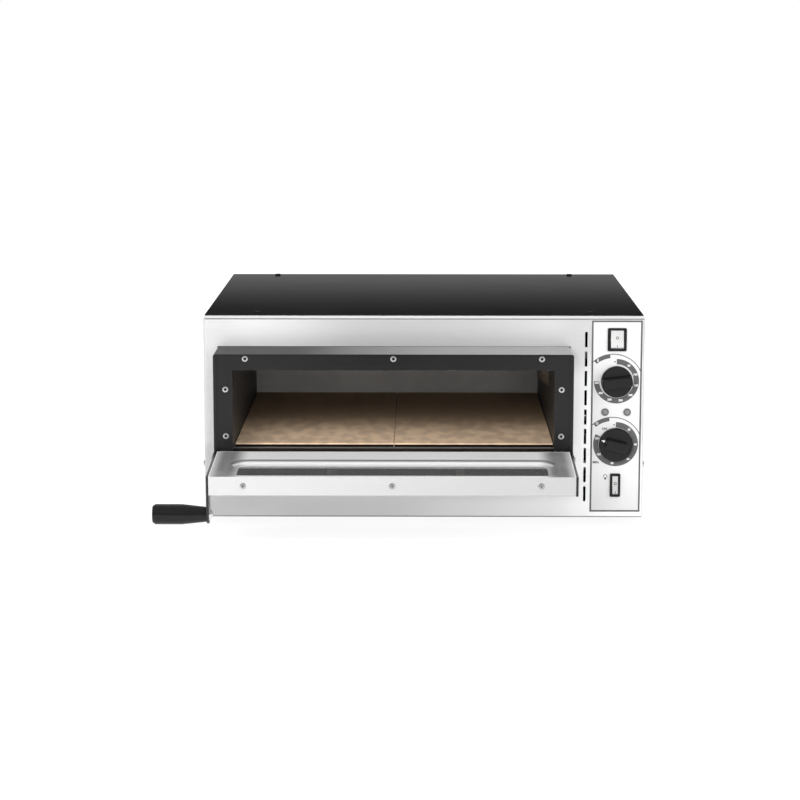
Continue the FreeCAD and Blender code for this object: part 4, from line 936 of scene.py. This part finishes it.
class OVEN_OT_printing(bpy.types.Operator):
    """Print the control film, the rockers and the timer's pointer"""

    bl_idname = "oven.printing"
    bl_label = "Printing"

    def dial(self, look, sheets, joint, ring, labels, first, step):
        """A dial's ring with its figures, and the arc above it; gives the place for the arc's icon."""
        centre = film_place(joint)
        depth = look.thickness
        add_sector(sheets["ink"], centre, look.ring_inner, look.ring_outer, *ring, depth)
        arc = film_place(joint, *look.arc_shift)
        inside = look.arc_radius - look.arc_line
        add_sector(sheets["ink"], arc, inside, look.arc_radius, *OUTER_ARC, depth)
        add_sector(sheets["ink"], arc, look.arc_radius - look.arc_band, inside, *THICK_ARC, depth)
        middle = (look.ring_inner + look.ring_outer) / 2
        for index, label in enumerate(labels):
            place = polar(centre, middle, first + step * index)
            add_words(sheets["figures"], label, place, look.figure_height, depth)
        add_disc(sheets["words"], polar(centre, middle, OFF_ANGLE), look.figure_height / 4, depth)
        return polar(arc, look.arc_radius - look.arc_band / 2, ICON_ANGLE)

    def film_edge(self, inset):
        """The film's corners, moved inwards."""
        left, right = OVERLAY_LOW.x + inset, OVERLAY_HIGH.x - inset
        foot, head = OVERLAY_LOW.z + inset, OVERLAY_HIGH.z - inset
        return [(left, foot), (right, foot), (right, head), (left, head)]

    def icons(self, shape, thermometer, clock, unit, thickness):
        """A small thermometer and a small clock; unit is the radius of the thermometer's bulb."""
        bulb = (thermometer[0], thermometer[1] - unit)
        add_disc(shape, bulb, unit, thickness)
        add_bar(shape, (bulb[0], bulb[1] + unit), (bulb[0], bulb[1] + 3.4 * unit), unit, thickness)
        add_circle(shape, clock, 1.2 * unit, 1.8 * unit, thickness)
        add_bar(shape, clock, (clock[0], clock[1] + unit), 0.4 * unit, thickness)
        add_bar(shape, clock, (clock[0] + 0.8 * unit, clock[1]), 0.4 * unit, thickness)

    def rocker_marks(self, look):
        """A circle and a bar on each rocker, flat on its upper and lower faces."""
        ink = screen_ink("rocker_ink", look.dark_ink)
        for switch in ("main", "lamp"):
            node = switch + "_switch_rocker"
            axle = JOINTS[switch + "_switch_rock"]
            low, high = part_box(node)
            for name, span, rise in (("circle", (axle.z, high.z), look.mark_places[0]),
                                     ("bar", (low.z, axle.z), look.mark_places[1])):
                shape = bmesh.new()
                if name == "circle":
                    add_circle(shape, (0.0, 0.0), *MARK_RADII, look.thickness)
                else:
                    add_bar(shape, (0.0, -BAR_HALF), (0.0, BAR_HALF), BAR_WIDTH, look.thickness)
                middle, normal = face_frame(node, FRONT, *span)
                middle.x = axle.x
                turn = normal.to_track_quat("Z", "Y").to_matrix().to_4x4()
                upward = turn @ Vector((0.0, 1.0, 0.0))
                middle += upward * ((axle.z + rise - middle.z) / upward.z)
                place = Matrix.Translation(middle) @ turn
                new_piece(node + "_" + name, shape, place, ink, switch + "_rocker")

    def timer_pointer(self, look):
        """A white arrow head on the timer knob's skirt, beyond the end of its bar."""
        centre = film_place("timer_turn")
        heading = math.degrees(look.pointer_angle)
        tip, tail = (polar(centre, reach, heading) for reach in look.pointer_reach)
        sides = [polar(tail, look.pointer_half, heading + quarter) for quarter in (90.0, -90.0)]
        shape = bmesh.new()
        add_slab(shape, [tip, *sides], look.thickness)
        faces = NODES["timer_knob"].data.polygons
        skirt = max(face.center.y for face in faces if face.normal.dot(FRONT) > 0.99)
        place = on_film(OVERLAY_LOW.y - skirt)
        ink = screen_ink("pointer_ink", look.figures)
        new_piece("timer_pointer", shape, place, ink, "timer_dial")

    def execute(self, context):
        look = context.scene.oven_printing
        depth = look.thickness
        sheets = {name: bmesh.new() for name in ("ink", "words", "figures")}
        thermometer, clock = [self.dial(look, sheets, *dial) for dial in DIALS]
        self.icons(sheets["figures"], thermometer, clock, look.figure_height / 4, depth)
        add_band(sheets["ink"], self.film_edge(0.0), self.film_edge(look.border), depth)
        for word, offset in (("ON", ON_PLACE), ("MIN.", MINUTES_PLACE)):
            add_words(sheets["words"], word, film_place("timer_turn", *offset), look.word_height, depth)
        bulb = film_place("lamp_switch_rock", *BULB_PLACE)
        add_circle(sheets["words"], bulb, *BULB_RADII, depth)
        cap = [(bulb[0], bulb[1] + end) for end in CAP_ENDS]
        add_bar(sheets["words"], *cap, CAP_WIDTH, depth)
        inks = {"ink": (look.ink, 0.0), "words": (look.dark_ink, 0.0), "figures": (look.figures, depth)}
        for name, (colour, height) in inks.items():
            ink = screen_ink("film_" + name, colour)
            new_piece("film_" + name, sheets[name], on_film(height), ink, "cabinet")
        coat(printed_film("control_film", context.scene.oven_finishes.film), "control_overlay")
        self.rocker_marks(look)
        self.timer_pointer(look)
        return {"FINISHED"}


class OVEN_OT_studio(bpy.types.Operator):
    """Set up the camera, the lamps and the floor"""

    bl_idname = "oven.studio"
    bl_label = "Studio"

    def camera(self, scene, look):
        camera = bpy.data.cameras.new("camera")
        camera.sensor_width = 36.0
        camera.lens = look.camera_lens
        holder = new_object("camera", camera)
        holder.location = look.camera_place
        holder.rotation_euler = (math.radians(90.0) - look.camera_pitch, 0.0, look.camera_yaw)
        scene.camera = holder

    def lamp(self, name, power, place, width, height):
        """A soft lamp that neither the camera nor a reflection shows."""
        light = bpy.data.lights.new(name, "AREA")
        light.shape = "RECTANGLE"
        light.energy = power
        light.size = width
        light.size_y = height
        holder = new_object(name, light)
        holder.location = place
        holder.rotation_euler = (LAMP_AIM - holder.location).to_track_quat("-Z", "Y").to_euler()
        holder.visible_camera = False
        holder.visible_glossy = False

    def plane(self, name, corners, shaders, hidden=()):
        """A plane of the stage, hidden from some rays; shaders gives two shaders and the second's part."""
        mesh = bpy.data.meshes.new(name)
        mesh.from_pydata(corners, [], [(0, 1, 2, 3)])
        plane = new_object(name, mesh)
        for kind in hidden:
            setattr(plane, "visible_" + kind, False)
        material, place = start_finish(name)
        place.tree.nodes.remove(place.tree.nodes["Principled BSDF"])
        mix_surface(*shaders(place))
        mesh.materials.append(material)

    def glow(self, wire, level, strength):
        return wire.node("Emission", inputs={"Color": (*grey(level), 1.0), "Strength": strength})

    def card(self, name, low, high, level, fade):
        """A plane seen only in reflections; fade gives its cover from its coordinates."""
        def shaders(place):
            return place.node("BsdfTransparent"), self.glow(place, level, 1.0), fade(place)
        corners = [low, (high[0], low[1], low[2]), high, (low[0], low[1], high[2])]
        self.plane(name, corners, shaders, ("camera", "diffuse", "transmission", "shadow", "volume_scatter"))

    def flag_fade(self, place):
        """Covers the middle and clears softly to both sides."""
        return between(abs(along(place, "X") - FLAG_MIDDLE), 0.0, FLAG_REACH, 1.0, 0.0)

    def backdrop_fade(self, place):
        """Clear at the foot and covering further up."""
        return between(along(place, "Z"), *BACKDROP_FADE)

    def strip_fade(self, place):
        """Covering in the middle of its height and clear at both edges."""
        rise = along(place, "Z")
        return between(rise, *STRIP_FADES[0]) * between(rise, *STRIP_FADES[1])

    def rays(self, wire, *kinds):
        """1 on rays of the given kinds."""
        total = sum(wire.node("LightPath", output="Is " + kind + " Ray") for kind in kinds)
        return wire.maths("MINIMUM", total, 1.0)

    def floor_shaders(self, place):
        """Pale, and white to rays from the camera, in metal and through glass, with a light shadow left."""
        pale = place.node("BsdfDiffuse", inputs={"Color": (*grey(0.8), 1.0)})
        part = between(vector_maths("LENGTH", place, output="Value"), *FLOOR_SHARE)
        seen = self.rays(place, "Camera", "Glossy", "Transmission")
        return pale, self.glow(place, 1.0, FLOOR_GLOW), seen * part

    def world(self, ambient):
        """Even light, a white background for the camera and a soft sky for reflections."""
        world = bpy.data.worlds.new("studio")
        bpy.context.scene.world = world
        world.use_nodes = True
        tree = world.node_tree
        tree.nodes.clear()
        wire = Wire(tree)
        sky = between(along(wire.node("TexCoord", output="Generated"), "Z"), *SKY)
        plain = self.rays(wire, "Camera", "Transmission")
        glossy = self.rays(wire, "Glossy")
        strength = plain + glossy * sky + (1.0 - plain) * (1.0 - glossy) * ambient
        white = wire.node("Background", inputs={"Color": (*grey(1.0), 1.0), "Strength": strength})
        plug(white, tree.nodes.new("ShaderNodeOutputWorld").inputs["Surface"])

    def execute(self, context):
        scene = context.scene
        look = scene.oven_studio
        scene.view_settings.view_transform = "Standard"
        self.camera(scene, look)
        for name, shape in LAMPS.items():
            self.lamp(name + "_lamp", getattr(look, name + "_power"), *shape)
        self.card("dark_flag", *FLAG, self.flag_fade)
        self.card("dark_backdrop", *BACKDROP, self.backdrop_fade)
        self.card("bright_strip", *STRIP, self.strip_fade)
        half = look.floor_size / 2
        corners = [(-half, -half, 0.0), (half, -half, 0.0), (half, half, 0.0), (-half, half, 0.0)]
        self.plane("floor", corners, self.floor_shaders)
        self.world(look.ambient)
        return {"FINISHED"}


class OVEN_PT_sidebar(bpy.types.Panel):
    """Lists the steps that dress the oven"""

    bl_idname = "OVEN_PT_sidebar"
    bl_label = "Pizza oven"
    bl_space_type = "VIEW_3D"
    bl_region_type = "UI"
    bl_category = "Oven"

    def draw(self, context):
        for step in STEPS:
            self.layout.operator(step.bl_idname)


GROUPS = {"oven_finishes": OvenFinishes, "oven_printing": OvenPrinting, "oven_studio": OvenStudio}
STEPS = (OVEN_OT_casing, OVEN_OT_chamber, OVEN_OT_stones, OVEN_OT_door, OVEN_OT_handle, OVEN_OT_controls,
         OVEN_OT_printing, OVEN_OT_studio)


def register():
    for kind in (*GROUPS.values(), *STEPS, OVEN_PT_sidebar):
        bpy.utils.register_class(kind)
    for name, group in GROUPS.items():
        setattr(bpy.types.Scene, name, bpy.props.PointerProperty(type=group))


def unregister():
    for name in GROUPS:
        delattr(bpy.types.Scene, name)
    for kind in (OVEN_PT_sidebar, *reversed(STEPS), *reversed(GROUPS.values())):
        bpy.utils.unregister_class(kind)


def main():
    register()
    bpy.ops.oven.casing()
    bpy.ops.oven.chamber()
    bpy.ops.oven.stones()
    bpy.ops.oven.door()
    bpy.ops.oven.handle()
    bpy.ops.oven.controls()
    bpy.ops.oven.printing()
    bpy.ops.oven.studio()


if __name__ == "__main__":
    main()
